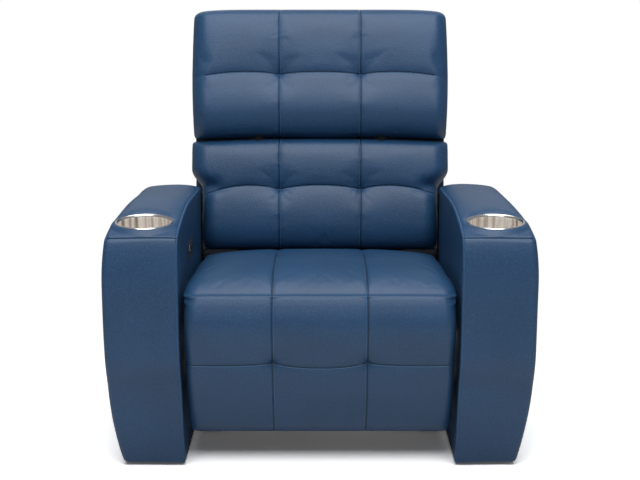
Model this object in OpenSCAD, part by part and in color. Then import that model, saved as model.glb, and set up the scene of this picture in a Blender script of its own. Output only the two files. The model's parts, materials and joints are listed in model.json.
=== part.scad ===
// Cinema recliner seat, upholstered in leather, with a power footrest and a power back.
// Units are millimetres. +Z is up and the seat faces -Y.
// The origin lies on the floor, at the centre of the four floor bolts.

/* [Overall] */
// Clear width between the two arms
seat_gap = 590; // [560:5:620]
// Height of the front seam where the seat meets the footrest
seam_h = 403; // [395:1:412]
// Distance from the arms' front seam back to the centre of the floor bolts
front_reach = 515; // [505:1:525]
// Spacing of the stitched lines, from the middle line of the seat
stitch_x = 100; // [85:1:110]

/* [Arms] */
// Width of one arm at its widest
arm_w = 160; // [155:1:175]
// Height of the arm's front seam
arm_h = 525; // [515:1:535]
// Length of the arm from its front seam to its rear face
arm_len = 562; // [550:1:562]
// Rise of the arm's top from the front seam to the back
arm_rise = 32; // [20:1:36]
// Fall of the arm's top from its highest place to its rear end
arm_fall = 18; // [0:1:24]
// Crown of the arm's top between its inner and outer edges
arm_crown = 9; // [4:1:12]
// How far the front face bulges ahead of the seam
arm_belly = 17; // [8:1:22]
// How far the front face draws back at the floor
arm_toe = 64; // [50:1:70]
// Radius of the arm's outer edge
arm_edge = 18; // [12:1:24]
// How far the outer face draws in at the floor
arm_tuck = 25; // [15:1:30]

/* [Cup holders] */
// Inner diameter of the cup
cup_d = 112; // [90:1:113]
// Depth of the cup below its rim
cup_depth = 74; // [60:1:76]
// Width of the rim that rests on the leather
cup_rim_w = 6; // [4:0.5:6]
// Wall thickness of the cup
cup_wall = 1.5; // [1:0.1:2]
// Distance of the cup's centre behind the arm's front seam
cup_back = 77; // [74:1:90]

/* [Control panel] */
// Length of the panel along the arm
panel_len = 115; // [110:1:125]
// Height of the panel
panel_h = 38; // [36:1:42]
// Travel of each push button
button_travel = 1.5; // [1:0.1:1.8]

/* [Footrest] */
// Height of the footrest's lower edge above the floor
foot_low = 66; // [60:1:80]
// Width of the footrest
foot_w = 576; // [560:1:584]
// Opening angle of the footrest
foot_open = 96; // [80:1:96]
// Distance from the hinge to the pin of the footrest's lever
foot_lever = 200; // [196:1:204]

/* [Back] */
// Lean of the back at rest
back_lean = 12.5; // [10:0.5:14]
// Recline beyond the rest position
back_open = 35; // [20:1:35]
// Width of the back between the arms
back_low_w = 580; // [550:1:582]
// Width of the back above the arms
back_top_w = 632; // [610:1:640]
// Length of the lumbar cushion's visible face, up the back
lumbar_h = 262; // [256:1:264]
// Length of the head cushion, up the back
head_h = 315; // [300:1:325]
// Distance from the recline pivot to the pin of its lever
back_lever = 130; // [124:1:134]

/* [Frame] */
// Thickness of the plywood panels
ply = 18; // [15:1:19]
// Thickness of the steel plates
plate = 4; // [3:0.5:5]
// Side of the square cross tubes
tube = 25; // [20:1:28]
// Width of one floor rail
rail_w = 45; // [40:1:50]
// Spacing of the floor bolts across the seat
bolt_x = 500; // [490:1:505]
// Spacing of the floor bolts from front to back
bolt_y = 350; // [320:1:370]
// Diameter of the holes for the floor bolts
bolt_hole_d = 11; // [9:0.5:13]

/* [Hidden] */

leather = [0.17, 0.32, 0.46];
leather_dark = [0.12, 0.24, 0.36];
wood = [0.74, 0.60, 0.42];
steel = [0.35, 0.36, 0.38];
bright = [0.78, 0.77, 0.75];
black = [0.07, 0.07, 0.08];

$fn = 64;
// One overrun serves every through cut
cut = 1;
// Running clearance of a pin in its bore, on the radius
run_fit = 0.05;
// Clearance around a bolt in its hole, on the radius
bolt_fit = 0.2;
// Gap left between a moving or curved piece and its neighbour
gap = 0.3;
// Gap between upholstered pieces that sit side by side
pad_gap = 4;

gap_half = seat_gap / 2;
front_y = -front_reach;

// Where the arm's front face, top and edges run
arm_floor = 6;
arm_rear_y = front_y + arm_len;
arm_seam_r = 5;
arm_foam = 12;
arm_frame_in = gap_half + arm_foam;
arm_frame_w = 105;
arm_frame_front = 85;
arm_frame_back = 15;
arm_board = 16;
arm_padding = 59;
glide_h = 8;
glide_r = 15;

// The cup stands on the arm frame's top board
cup_x_share = 0.485;
cup_x = gap_half + cup_x_share * arm_w;
cup_y = front_y + cup_back;
cup_tilt = 4;
cup_r = cup_d / 2;
cup_rim_r = cup_r + cup_rim_w;
cup_rim_h = 2;
cup_floor_r = 8;
cup_under = 2.5;
arm_frame_top = arm_h - arm_padding;
cup_top = arm_frame_top + cup_depth + cup_wall + cup_under;

// The footrest hangs from a hinge just behind the front seam
hinge_in = 9;
hinge_y = front_y - hinge_in;
hinge_z = seam_h - hinge_in;
knuckle_r = 6;
hinge_pin_r = 2.5;
knuckle_n = 9;
lip_reach = 108;
lip_z = hinge_z;
leaf_drop = 3.5;
leaf_z = hinge_z - plate - leaf_drop;
pad_top_z = leaf_z - plate;

// The footrest board leans from its top corner to its bottom corner
board_top_in = 86;
board_low_in = 126;
board_low_up = 24;
board_top_y = front_y + board_top_in;
board_low_y = front_y + board_low_in;
board_low_z = foot_low + board_low_up;
board_t = 12;
board_w = 520;
board_lean = atan((board_low_y - board_top_y) / (pad_top_z - board_low_z));

// The drive pins swing equally to both sides of straight down
foot_half = foot_open / 2;
drive_pin_r = 7;
yoke_t = 10;
yoke_wall = 6;
lever_t = 6;
drive_x = 60;
rod_r = 10;
foot_pin_y = hinge_y + foot_lever * sin(foot_half);
foot_pin_z = hinge_z - foot_lever * cos(foot_half);
foot_drive_drop = 30;
foot_drive_z = foot_pin_z - foot_drive_drop;
// Share of the lever by which its swing leaves the rod's even travel
foot_stray_share = 0.037;
foot_slot_half = drive_pin_r + foot_stray_share * foot_lever + gap;
// The rod's head passes up through a relief in the footrest: shares of the lever, down and into the board
relief_top_share = 0.26;
relief_low_share = 0.705;
relief_in_share = 0.185;
relief_side = 3;

// The seat deck
deck_drop = 73;
deck_len = 540;
side_gap = 17;
deck_z = seam_h - deck_drop;
rail_h = 40;
web_t = 2;
web_w = 60;
rail_front_y = front_y + lip_reach + plate;
rail_rear_y = front_y + deck_len;
side_in = gap_half - side_gap - plate;
side_out = side_in + plate;

// The back stands in its own leaning frame, from the crease behind the seat
crease_in = 548;
crease_drop = 13;
crease_y = front_y + crease_in;
crease_z = seam_h - crease_drop;
pivot_up = -47;
pivot_in = 64;
pivot_y = crease_y + pivot_in * cos(back_lean) + pivot_up * sin(back_lean);
pivot_z = crease_z - pivot_in * sin(back_lean) + pivot_up * cos(back_lean);
pivot_r = 8;
back_half = back_open / 2;
back_pin_y = pivot_y + back_lever * sin(back_half);
back_pin_z = pivot_z - back_lever * cos(back_half);
back_stroke = 2 * back_lever * sin(back_half);
back_low = -12;
board_hang = 58;
cushion_t = 75;
back_board_t = 22;
back_cover_t = 24;
board_side_gap = 19;
back_board_w = 2 * (side_in - board_side_gap);
ear_z = 172;
head_gap = 5;
head_z = lumbar_h + head_gap;
head_top = head_z + head_h;
head_in = 60;
head_board_t = 15;
head_hinge_up = 20;
head_pivot_up = lumbar_h + head_hinge_up;
head_pivot_in = -12;
head_pin_r = 4;
head_arm_x = 150;
head_arm_t = 5;
head_arm_h = 13;
head_boss_r = 9;

// The cross tubes carry the actuators
tube_drop = 76;
tube_z = back_pin_z - tube_drop;
tube_wall = 2;
front_tube_in = 230;
rear_tube_in = 480;
front_tube_y = front_y + front_tube_in;
rear_tube_y = front_y + rear_tube_in;
rail_t = 8;
actuator_r = 20;
motor_r = 20;
motor_dx = 48;
gear_h = 60;
gear_len = 45;
arm_bolt_r = 4;
spacer_r = 8;

// Sewing, alike on every cushion: the cross seam, the lengthwise folds and the tufts where they meet
seam_deep = 8;
seam_w = 15;
fold_deep = 3.5;
fold_w = 7;
tuft_deep = 10;
tuft_w = 22;

function bump(d, w) = exp(-pow(d / w, 2));
function dome(s, p) = sqrt(max(0, 1 - pow(abs(s), p)));
function mix(a, b, t) = a + (b - a) * t;
function ease(t) = let(c = min(1, max(0, t))) c * c * (3 - 2 * c);
function at_folds(x, d, w) = bump(norm([x - stitch_x, d]), w) + bump(norm([x + stitch_x, d]), w);
// Depth of the seams, and of the tufts, at x and at a distance d from the cross seam
function sewn(x, d) = seam_deep * bump(d, seam_w) + fold_deep * at_folds(x, 0, fold_w);
function tufted(x, d) = tuft_deep * at_folds(x, d, tuft_w);
function middle(ring) = [for (k = [0:2]) let(v = [for (p = ring) p[k]]) (min(v) + max(v)) / 2];

// A closed skin through a row of rings, with a fan at each end
module loft(rings, first, last) {
    n = len(rings[0]);
    m = len(rings);
    skin = [
        for (i = [0:m - 2], j = [0:n - 1], h = [0, 1])
            let(a = i * n + j, b = i * n + (j + 1) % n)
            h == 0 ? [a, b, a + n] : [b, b + n, a + n]
    ];
    low = [for (j = [0:n - 1]) [m * n, (j + 1) % n, j]];
    high = [for (j = [0:n - 1]) [m * n + 1, (m - 1) * n + j, (m - 1) * n + (j + 1) % n]];
    polyhedron(concat([for (r = rings) each r], [first, last]), concat(skin, low, high));
}

// A cushion from its front sheet and its flat back, both given over shares of width and height
module cushion(across, up, front, back) {
    down = [1, 0.5, 0, -0.5, -1];
    rings = [for (s = across) concat([for (t = up) front(s, t)], [for (t = down) back(s, t)])];
    loft(rings, middle(rings[0]), middle(rings[len(rings) - 1]));
}

module square_tube(length, side, wall) {
    difference() {
        cube([length, side, side], center = true);
        cube([length + 2 * cut, side - 2 * wall, side - 2 * wall], center = true);
    }
}

// A round bar along X
module x_bar(r, x0, x1) {
    translate([min(x0, x1), 0, 0]) rotate([0, 90, 0]) cylinder(r = r, h = abs(x1 - x0));
}

// A round bar along Y
module y_bar(r, y0, y1) {
    translate([0, max(y0, y1), 0]) rotate([90, 0, 0]) cylinder(r = r, h = abs(y1 - y0));
}

// Draws its children on both sides
module pair() {
    children();
    mirror([1, 0, 0]) children();
}

// Arms
// Set-back of the arm's front face at a height share, from the floor to the front seam
belly_share = 0.38;
toe_share = 0.5;
function arm_front_in(h) =
    -arm_belly * sin(180 * min(1, max(0, (h - belly_share) / (1 - belly_share))))
    + arm_toe * pow(max(0, toe_share - h) / toe_share, 1.2);
// Height of the arm's top at a length share, from front to back
fall_share = 0.3;
function arm_top_z(l) =
    arm_h + arm_rise * (1 - pow(1 - min(1, 1.2 * l), 3))
    - arm_fall * ease((l - fall_share) / (1 - fall_share));
// How far the skin has drawn in at a width share, from the inner to the outer face
function arm_draw(w) =
    let(e = arm_edge / arm_w, u = max(0, w - (1 - e)) / e, i = max(0, arm_seam_r - w * arm_w))
    arm_edge * (1 - sqrt(max(0, 1 - u * u))) + i / 2;
function arm_hump(w) = arm_crown * sin(180 * min(1, w * 0.98));
// Width of the arm at a height share: the outer face draws in at the floor and a little at the top
tuck_low_share = 0.4;
tuck_high_share = 0.8;
function arm_width(h) =
    arm_w - arm_tuck * pow(max(0, tuck_low_share - h) / tuck_low_share, 1.8)
    - arm_tuck / 3 * pow(max(0, h - tuck_high_share) / (1 - tuck_high_share), 2);
arm_length_shares = [0.02, 0.05, 0.1, 0.17, 0.25, 0.35, 0.47, 0.6, 0.75, 0.9];
arm_rear_shares = [0.75, 0.5, 0.25, 0.1];
function arm_point(w, y, z) = [gap_half + w * arm_width(min(1, z / arm_h)), y, z];
function arm_ring(w) =
    let(d = arm_draw(w), low = arm_floor + d / 2, corner = arm_edge / 2)
    concat(
        [for (i = [0:13]) let(h = i / 13, z = mix(low, arm_h - d + arm_hump(w) * h, h))
            arm_point(w, front_y + arm_front_in((z - arm_floor) / (arm_h - arm_floor)) + d / 2, z)],
        [for (l = arm_length_shares)
            arm_point(w, front_y + arm_len * l, arm_top_z(l) + arm_hump(w) - d)],
        [for (a = [0:30:90])
            arm_point(w, arm_rear_y - d / 2 - corner * (1 - sin(a)),
                      arm_top_z(1) + arm_hump(w) - d - corner * (1 - cos(a)))],
        [for (h = arm_rear_shares) arm_point(w, arm_rear_y - d / 2, arm_h * h)],
        [arm_point(w, arm_rear_y - d / 2, low), arm_point(w, front_y + arm_len / 2, low)]
    );
arm_width_shares = [0, 0.03, 0.12, 0.3, 0.5, 0.65, 0.76, 0.84, 0.89, 0.93, 0.96, 0.985, 1];

module arm_solid() {
    rings = [for (w = arm_width_shares) arm_ring(w)];
    loft(rings, middle(rings[0]), middle(rings[len(rings) - 1]));
}

module place_cup() {
    translate([cup_x, cup_y, cup_top]) rotate([cup_tilt, 0, 0]) children();
}

module arm_frame_block() {
    translate([arm_frame_in, front_y + arm_frame_front, 0])
        cube([arm_frame_w, arm_len - arm_frame_front - arm_frame_back, arm_frame_top]);
}

// The arm bolts sit in two rows, at shares of the arm's length
arm_bolt_drop = 20;
arm_bolt_high_z = deck_z - rail_h - arm_bolt_drop;
arm_bolt_low_z = 60;
high_bolt_shares = [0.374, 0.89];
low_bolt_shares = [0.712, 0.946];

module at_arm_bolts() {
    for (l = high_bolt_shares) translate([0, front_y + l * arm_len, arm_bolt_high_z]) children();
    for (l = low_bolt_shares) translate([0, front_y + l * arm_len, arm_bolt_low_z]) children();
}

module arm_cover() {
    difference() {
        arm_solid();
        arm_frame_block();
        place_cup() {
            translate([0, 0, -cup_rim_h]) cylinder(r = cup_rim_r + gap, h = arm_edge);
            translate([0, 0, -2 * cup_depth]) cylinder(r = cup_r + cup_wall + gap, h = 2 * cup_depth);
        }
        at_arm_bolts() x_bar(spacer_r + bolt_fit, gap_half - cut, arm_frame_in + cut);
    }
}

module panel_pocket() {
    translate([-gap_half - panel_depth, panel_y - panel_len / 2, panel_z - panel_h / 2])
        cube([panel_depth + arm_seam_r, panel_len, panel_h]);
}

module left_arm_cover() {
    color(leather) difference() {
        mirror([1, 0, 0]) arm_cover();
        panel_pocket();
    }
}

module right_arm_cover() {
    color(leather) arm_cover();
}

module arm_frame() {
    y0 = front_y + arm_frame_front;
    length = arm_len - arm_frame_front - arm_frame_back;
    difference() {
        translate([arm_frame_in, y0, glide_h]) cube([arm_frame_w, length, arm_frame_top - glide_h]);
        translate([arm_frame_in + arm_board, y0 + arm_board, glide_h + arm_board])
            cube([arm_frame_w - 2 * arm_board, length - 2 * arm_board,
                  arm_frame_top - glide_h - 2 * arm_board]);
        at_arm_bolts() x_bar(arm_bolt_r + bolt_fit, arm_frame_in - cut, arm_frame_in + arm_board + cut);
    }
}

module left_arm_frame() {
    color(wood) mirror([1, 0, 0]) arm_frame();
}

module right_arm_frame() {
    color(wood) arm_frame();
}

// Cup holders: a pressed cup with a flat rim
module cup_holder() {
    place_cup() rotate_extrude() polygon(concat(
        [[0, -cup_depth - cup_wall], [cup_r + cup_wall - cup_floor_r, -cup_depth - cup_wall]],
        [for (a = [15:15:75]) [cup_r + cup_wall - cup_floor_r * (1 - sin(a)),
                               -cup_depth - cup_wall + cup_floor_r * (1 - cos(a))]],
        [[cup_r + cup_wall, -cup_depth - cup_wall + cup_floor_r], [cup_r + cup_wall, -cup_rim_h],
         [cup_rim_r, -cup_rim_h], [cup_rim_r, -cup_rim_h / 3], [cup_rim_r - cup_rim_h / 2, 0],
         [cup_r, 0], [cup_r, -cup_depth + cup_floor_r]],
        [for (a = [75:-15:15]) [cup_r - cup_floor_r * (1 - sin(a)), -cup_depth + cup_floor_r * (1 - cos(a))]],
        [[cup_r - cup_floor_r, -cup_depth], [0, -cup_depth]]
    ));
}

module left_cup_holder() {
    color(bright) mirror([1, 0, 0]) cup_holder();
}

module right_cup_holder() {
    color(bright) cup_holder();
}

// Control panel on the inner face of the left arm
panel_in = 254;
panel_drop = 77;
panel_y = front_y + panel_in;
panel_z = arm_h - panel_drop;
panel_depth = 10;
panel_lip = 1.5;
button_len = 24;
button_h = 14;
button_dy = 15;
button_dz = 7;
button_stem = 6;
button_proud = 2.2;
button_fit = 0.8;
port_len = 16;
port_h = 8;
port_dz = -10;
slot_len = 9;
slot_h = 3;

module button_space(side, grow) {
    translate([-gap_half - button_stem - grow, panel_y + side * button_dy - button_len / 2 - grow,
               panel_z + button_dz - button_h / 2 - grow])
        cube([button_stem + panel_lip + cut + grow, button_len + 2 * grow, button_h + 2 * grow]);
}

module control_panel() {
    color(black) difference() {
        translate([-gap_half - panel_depth, panel_y - panel_len / 2, panel_z - panel_h / 2])
            cube([panel_depth + panel_lip, panel_len, panel_h]);
        button_space(1, button_fit);
        button_space(-1, button_fit);
        translate([-gap_half - button_stem, panel_y - port_len / 2, panel_z + port_dz - port_h / 2])
            cube([button_stem + panel_lip + cut, port_len, port_h]);
    }
}

module push_button(side) {
    translate([-gap_half - button_stem + button_travel + gap, panel_y + side * button_dy - button_len / 2,
               panel_z + button_dz - button_h / 2])
        cube([button_stem - button_travel - gap + panel_lip + button_proud, button_len, button_h]);
}

module open_button() {
    color(bright) push_button(-1);
}

module close_button() {
    color(bright) push_button(1);
}

module charging_port() {
    color(bright) difference() {
        translate([-gap_half - button_stem, panel_y - port_len / 2, panel_z + port_dz - port_h / 2])
            cube([button_stem + panel_lip, port_len, port_h]);
        translate([-gap_half - button_stem / 2, panel_y - slot_len / 2, panel_z + port_dz - slot_h / 2])
            cube([button_stem + panel_lip, slot_len, slot_h]);
    }
}

// Feet and floor rails
module floor_glides() {
    y0 = front_y + arm_frame_front + 2 * glide_r;
    y1 = arm_rear_y - arm_frame_back - 2 * glide_r;
    color(black) pair() for (y = [y0, y1])
        translate([arm_frame_in + arm_frame_w / 2, y, 0]) cylinder(r = glide_r, h = glide_h);
}

rail_front_end = 50;
rail_rear_end = 40;
rail_y0 = -bolt_y / 2 - rail_front_end;
rail_y1 = bolt_y / 2 + rail_rear_end;

module floor_rail() {
    difference() {
        translate([side_out - rail_w, rail_y0, 0]) cube([rail_w, rail_y1 - rail_y0, rail_t]);
        for (s = [-1, 1]) translate([bolt_x / 2, s * bolt_y / 2, -cut])
            cylinder(d = bolt_hole_d, h = rail_t + 2 * cut);
    }
}

module left_floor_rail() {
    color(steel) mirror([1, 0, 0]) floor_rail();
}

module right_floor_rail() {
    color(steel) floor_rail();
}

// Steel side plates between the floor rails and the seat deck
plate_corner = 40;
plate_rear = 24;
plate_rise = 20;
plate_front_in = 78;

module side_plate() {
    y_front = rail_front_y + plate_front_in;
    y_low = rail_y0 + plate_corner;
    y_rear = max(pivot_y, front_y + max(low_bolt_shares) * arm_len) + plate_rear;
    z_top = pivot_z + plate_rise;
    difference() {
        translate([side_in, 0, 0]) rotate([90, 0, 90]) linear_extrude(plate) polygon([
            [y_low, rail_t], [y_rear, rail_t], [y_rear, z_top], [pivot_y - plate_rear, z_top],
            [rail_rear_y, deck_z], [y_front, deck_z],
            [y_front, tube_z - plate_rise], [y_low, rail_t + plate_rise]
        ]);
        translate([0, pivot_y, pivot_z]) x_bar(pivot_r, side_in - cut, side_out + cut);
        at_arm_bolts() x_bar(arm_bolt_r + bolt_fit, side_in - cut, side_out + cut);
    }
}

module left_side_plate() {
    color(steel) mirror([1, 0, 0]) side_plate();
}

module right_side_plate() {
    color(steel) side_plate();
}

module front_cross_tube() {
    color(steel) translate([0, front_tube_y, tube_z + tube / 2]) square_tube(2 * side_in, tube, tube_wall);
}

module rear_cross_tube() {
    color(steel) translate([0, rear_tube_y, tube_z + tube / 2]) square_tube(2 * side_in, tube, tube_wall);
}

// Seat deck: four plywood rails, webbing and the cushion
module seat_front_rail() {
    color(wood) translate([-side_in, rail_front_y, deck_z - rail_h]) cube([2 * side_in, ply, rail_h]);
}

module seat_rear_rail() {
    color(wood) translate([-side_in + ply, rail_rear_y - ply, deck_z - rail_h])
        cube([2 * (side_in - ply), ply, rail_h]);
}

module seat_rail() {
    translate([side_in - ply, rail_front_y + ply, deck_z - rail_h])
        cube([ply, rail_rear_y - rail_front_y - ply, rail_h]);
}

module left_seat_rail() {
    color(wood) mirror([1, 0, 0]) seat_rail();
}

module right_seat_rail() {
    color(wood) seat_rail();
}

module seat_webbing() {
    long = rail_rear_y - rail_front_y;
    color(black) {
        for (i = [-1.5:1:1.5]) translate([i * 2 * web_w - web_w / 2, rail_front_y, deck_z])
            cube([web_w, long, web_t]);
        for (i = [1:3]) translate([-side_in, rail_front_y + i * long / 4 - web_w / 2, deck_z])
            cube([2 * side_in, web_w, web_t]);
    }
}

// Seat top, from the front seam over the crest to the crease
seat_half = gap_half - 2 * pad_gap;
seat_crest = 36;
seat_back_drop = 48;
seat_end_gap = 26;
seat_nose = 15;
seat_corner = 14;
seat_roll = 22;
seat_front_roll = 3;
seat_tail = 30;
seat_mid_in = 15;
seat_mid_up = 12;
seat_len = crease_y - front_y - seat_end_gap;
seat_crest_share = 0.22;
// Height of the seat at a length share, from the front seam to the crease
function seat_top(l) =
    let(back = (l - seat_crest_share) / (1 - seat_crest_share))
    l < seat_crest_share ? seam_h + seat_crest * sin(90 * pow(l / seat_crest_share, 0.62))
    : seam_h + seat_crest - seat_back_drop * (0.6 * ease(back) + 0.4 * back);
// The same at a width share, with its rounded sides and its sewn folds
function seat_z(s, l) =
    seam_h - mix(seat_front_roll, seat_roll, ease(3 * l)) * (1 - dome(s, 6))
    + (seat_top(l) - seam_h) * (0.25 + 0.75 * dome(s, 5))
    - fold_deep * at_folds(s * seat_half, 0, fold_w) * ease(l * 14) * ease((1 - l) * 12);
seat_shares = [-1, -0.985, -0.95, -0.88, -0.76, -0.6, -0.46, -0.385, -0.348, -0.31, -0.2, 0,
               0.2, 0.31, 0.348, 0.385, 0.46, 0.6, 0.76, 0.88, 0.95, 0.985, 1];
seat_length_shares = [0, 0.012, 0.035, 0.07, 0.12, 0.18, 0.24, 0.32, 0.42, 0.54, 0.66, 0.78, 0.88, 0.95, 1];

module seat_cushion() {
    deck = deck_z + web_t;
    step_y = rail_front_y + gap;
    rings = [for (s = seat_shares)
        let(x = s * seat_half, lead = seat_nose - seat_corner * (1 - dome(s, 8)))
        concat(
            [for (l = seat_length_shares) [x, front_y - lead + (seat_len + lead) * l, seat_z(s, l)]],
            [[x, front_y + seat_len, deck + seat_tail], [x, front_y + seat_len - pad_gap, deck],
             [x, step_y, deck], [x, step_y, lip_z], [x, front_y, lip_z],
             [x, hinge_y + knuckle_r + cut, hinge_z + knuckle_r + cut]]
        )];
    mid = [step_y + seat_mid_in, lip_z + seat_mid_up];
    color(leather) loft(rings, [-seat_half, mid[0], mid[1]], [seat_half, mid[0], mid[1]]);
}

// The lip plate carries the footrest's hinge ahead of the seat frame
hinge_inset = 8;
hinge_half = board_w / 2 - hinge_inset;
function knuckle_x(i) = -hinge_half + 2 * hinge_half * i / knuckle_n;

module knuckles(start, inset) {
    for (i = [start:2:knuckle_n - 1]) translate([0, hinge_y, hinge_z])
        x_bar(knuckle_r, knuckle_x(i) + inset, knuckle_x(i + 1) - inset);
}

module front_lip_plate() {
    color(steel) difference() {
        union() {
            translate([-side_in + plate, hinge_y + knuckle_r, lip_z - plate])
                cube([2 * (side_in - plate), front_y + lip_reach + plate - hinge_y - knuckle_r, plate]);
            translate([-side_in + plate, front_y + lip_reach, deck_z - rail_h])
                cube([2 * (side_in - plate), plate, lip_z - deck_z + rail_h - plate]);
            for (i = [0:2:knuckle_n - 1])
                translate([knuckle_x(i) + gap, hinge_y, lip_z - plate])
                    cube([knuckle_x(1) - knuckle_x(0) - 2 * gap, knuckle_r + cut, plate]);
            knuckles(0, gap);
        }
        translate([0, hinge_y, hinge_z]) x_bar(hinge_pin_r + run_fit, -hinge_half - cut, hinge_half + cut);
    }
}

// Fasteners and pivots between the seat, the arms and the back
bolt_head_r = 1.8 * arm_bolt_r;

module arm_bolts() {
    color(bright) pair() at_arm_bolts() {
        x_bar(arm_bolt_r, side_in - gap, arm_frame_in + arm_board);
        x_bar(bolt_head_r, side_in - arm_bolt_r, side_in);
    }
}

module arm_spacers() {
    color(steel) pair() at_arm_bolts() difference() {
        x_bar(spacer_r, side_out, arm_frame_in);
        x_bar(arm_bolt_r + bolt_fit, side_out - cut, arm_frame_in + cut);
    }
}

bracket_t = 5;
bracket_x = back_board_w / 2;
bracket_up = 130;
bracket_r = 2.6 * pivot_r;
pin_head_r = 1.3 * pivot_r;
bush_r = 1.8 * pivot_r;

module recline_pins() {
    color(bright) pair() translate([0, pivot_y, pivot_z]) {
        x_bar(pivot_r, bracket_x - gap, side_out);
        x_bar(pin_head_r, bracket_x - gap - bracket_t, bracket_x - gap);
    }
}

module recline_bushes() {
    color(black) pair() translate([0, pivot_y, pivot_z]) difference() {
        x_bar(bush_r, bracket_x + bracket_t + gap, side_in);
        x_bar(pivot_r + run_fit, bracket_x, side_out);
    }
}

// Power supply on the rear cross tube
supply_x = 150;
supply_w = 90;
supply_len = 110;
supply_h = 42;

module power_supply() {
    color(black) translate([-supply_x - supply_w / 2, rear_tube_y - tube / 2, tube_z + tube])
        cube([supply_w, supply_len, supply_h]);
}

inlet_r = 11;
inlet_pin_r = 1.2;

module power_inlet() {
    color(bright) translate([-supply_x, rear_tube_y - tube / 2 + supply_len, tube_z + tube + supply_h / 2]) {
        y_bar(inlet_r, 0, inlet_r);
        for (s = [-1, 1]) translate([s * inlet_r / 2, 0, 0]) y_bar(inlet_pin_r, 0, 2 * inlet_r);
    }
}

// An actuator: a tube for the rod, a gear case near one end and a motor beside the tube
module actuator(x, z, y_case, y_mouth, side, tail) {
    dir = sign(y_mouth - y_case);
    difference() {
        union() {
            translate([x, 0, z]) y_bar(actuator_r, y_case - dir * tail, y_mouth);
            translate([x + side * motor_dx, 0, z]) y_bar(motor_r, y_case, y_case + dir * 3 * gear_len);
            translate([x + side * motor_dx / 2 - motor_dx / 2 - motor_r - plate,
                       min(y_case, y_case - dir * gear_len), z - gear_h / 2])
                cube([motor_dx + 2 * (motor_r + plate), gear_len, gear_h]);
        }
        translate([x, 0, z]) y_bar(rod_r + gap, y_case + dir * plate, y_mouth + dir * cut);
    }
}

foot_mouth_in = 165;
foot_mouth_y = front_y + foot_mouth_in;
foot_case_y = rear_tube_y + tube / 2 + gap;
back_case_y = front_tube_y + tube / 2 + gap + gear_len;
back_mouth_y = rail_rear_y;
back_drive_z = back_pin_z;

module footrest_actuator() {
    color(steel) actuator(-drive_x, foot_drive_z, foot_case_y, foot_mouth_y, -1, gear_len);
}

module recline_actuator() {
    color(steel) actuator(drive_x, back_drive_z, back_case_y, back_mouth_y, 1, gear_len + tube + gap);
}

// Saddles hold the actuators above the cross tubes
module saddle(x, z, y) {
    difference() {
        translate([x - actuator_r, y - tube / 2, tube_z + tube])
            cube([2 * actuator_r, tube, z - tube_z - tube]);
        translate([x, 0, z]) y_bar(actuator_r, y - tube, y + tube);
    }
}

module actuator_saddles() {
    color(steel) {
        saddle(-drive_x, foot_drive_z, front_tube_y);
        saddle(-drive_x, foot_drive_z, rear_tube_y);
        saddle(drive_x, back_drive_z, front_tube_y);
        saddle(drive_x, back_drive_z, rear_tube_y);
    }
}

// A rod with a slotted head; the slot lets the lever's pin rise and fall
module yoke_rod(x, z, y_pin, z_low, z_high, half, y_end) {
    dir = sign(y_end - y_pin);
    rim = half + yoke_wall;
    difference() {
        union() {
            translate([x - yoke_t / 2, y_pin - rim, z_low - drive_pin_r - yoke_wall - gap])
                cube([yoke_t, 2 * rim, z_high - z_low + 2 * (drive_pin_r + yoke_wall + gap)]);
            translate([x, 0, z]) y_bar(rod_r, y_pin + dir * (rim - cut), y_end);
        }
        translate([x - yoke_t, y_pin - half, z_low - drive_pin_r - gap])
            cube([2 * yoke_t, 2 * half, z_high - z_low + 2 * (drive_pin_r + gap)]);
    }
}

module footrest_rod() {
    color(bright) yoke_rod(-drive_x, foot_drive_z, foot_pin_y, hinge_z - foot_lever, foot_pin_z,
                           foot_slot_half, foot_case_y - 2 * plate);
}

module recline_rod() {
    color(bright) yoke_rod(drive_x, back_drive_z, back_pin_y, pivot_z - back_lever, back_pin_z,
                           drive_pin_r + 2 * gap, back_case_y + 2 * plate + back_stroke);
}

// Footrest
module on_board() {
    translate([0, board_top_y, pad_top_z]) rotate([board_lean, 0, 0]) children();
}

board_len = (pad_top_z - board_low_z) / cos(board_lean);

module drive_relief() {
    on_board() translate([-drive_x - yoke_t / 2 - relief_side, -relief_in_share * foot_lever,
                          -relief_low_share * foot_lever])
        cube([yoke_t + 2 * relief_side, relief_in_share * foot_lever + cut,
              (relief_low_share - relief_top_share) * foot_lever]);
}

module footrest_board() {
    color(wood) difference() {
        on_board() translate([-board_w / 2, -board_t, -board_len]) cube([board_w, board_t, board_len]);
        drive_relief();
    }
}

foot_half_w = foot_w / 2;
tuft_drop = 150;
foot_side = 14;
foot_edge = 7;
pad_mid_in = 50;
// How far the footrest's face lies behind the front seam at its lower edge
foot_tuck = 95;
// Shares of that, from the lower edge to the top
foot_tuck_shares = [[0, 1], [0.08, 0.695], [0.2, 0.44], [0.35, 0.21], [0.5, 0.03], [0.62, -0.085],
                    [0.75, -0.17], [0.88, -0.2], [1, -0.16]];
foot_narrow_share = 0.012;
function foot_point(s, h) =
    let(z = mix(foot_low, pad_top_z, h), x = s * foot_half_w * (1 - foot_narrow_share * pow(2 * h - 1, 6)),
        d = z - seam_h + tuft_drop,
        edge = foot_side * (1 - dome(s, 8)) + foot_edge * (1 - dome(h * 2 - 1, 10)))
    [x, front_y + foot_tuck * lookup(h, foot_tuck_shares) + edge + sewn(x, d) * dome(s, 8) + tufted(x, d), z];
foot_height_shares = [0, 0.03, 0.08, 0.16, 0.26, 0.36, 0.45, 0.51, 0.56, 0.61, 0.68, 0.78, 0.88, 0.95,
                      0.985, 1];

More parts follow.
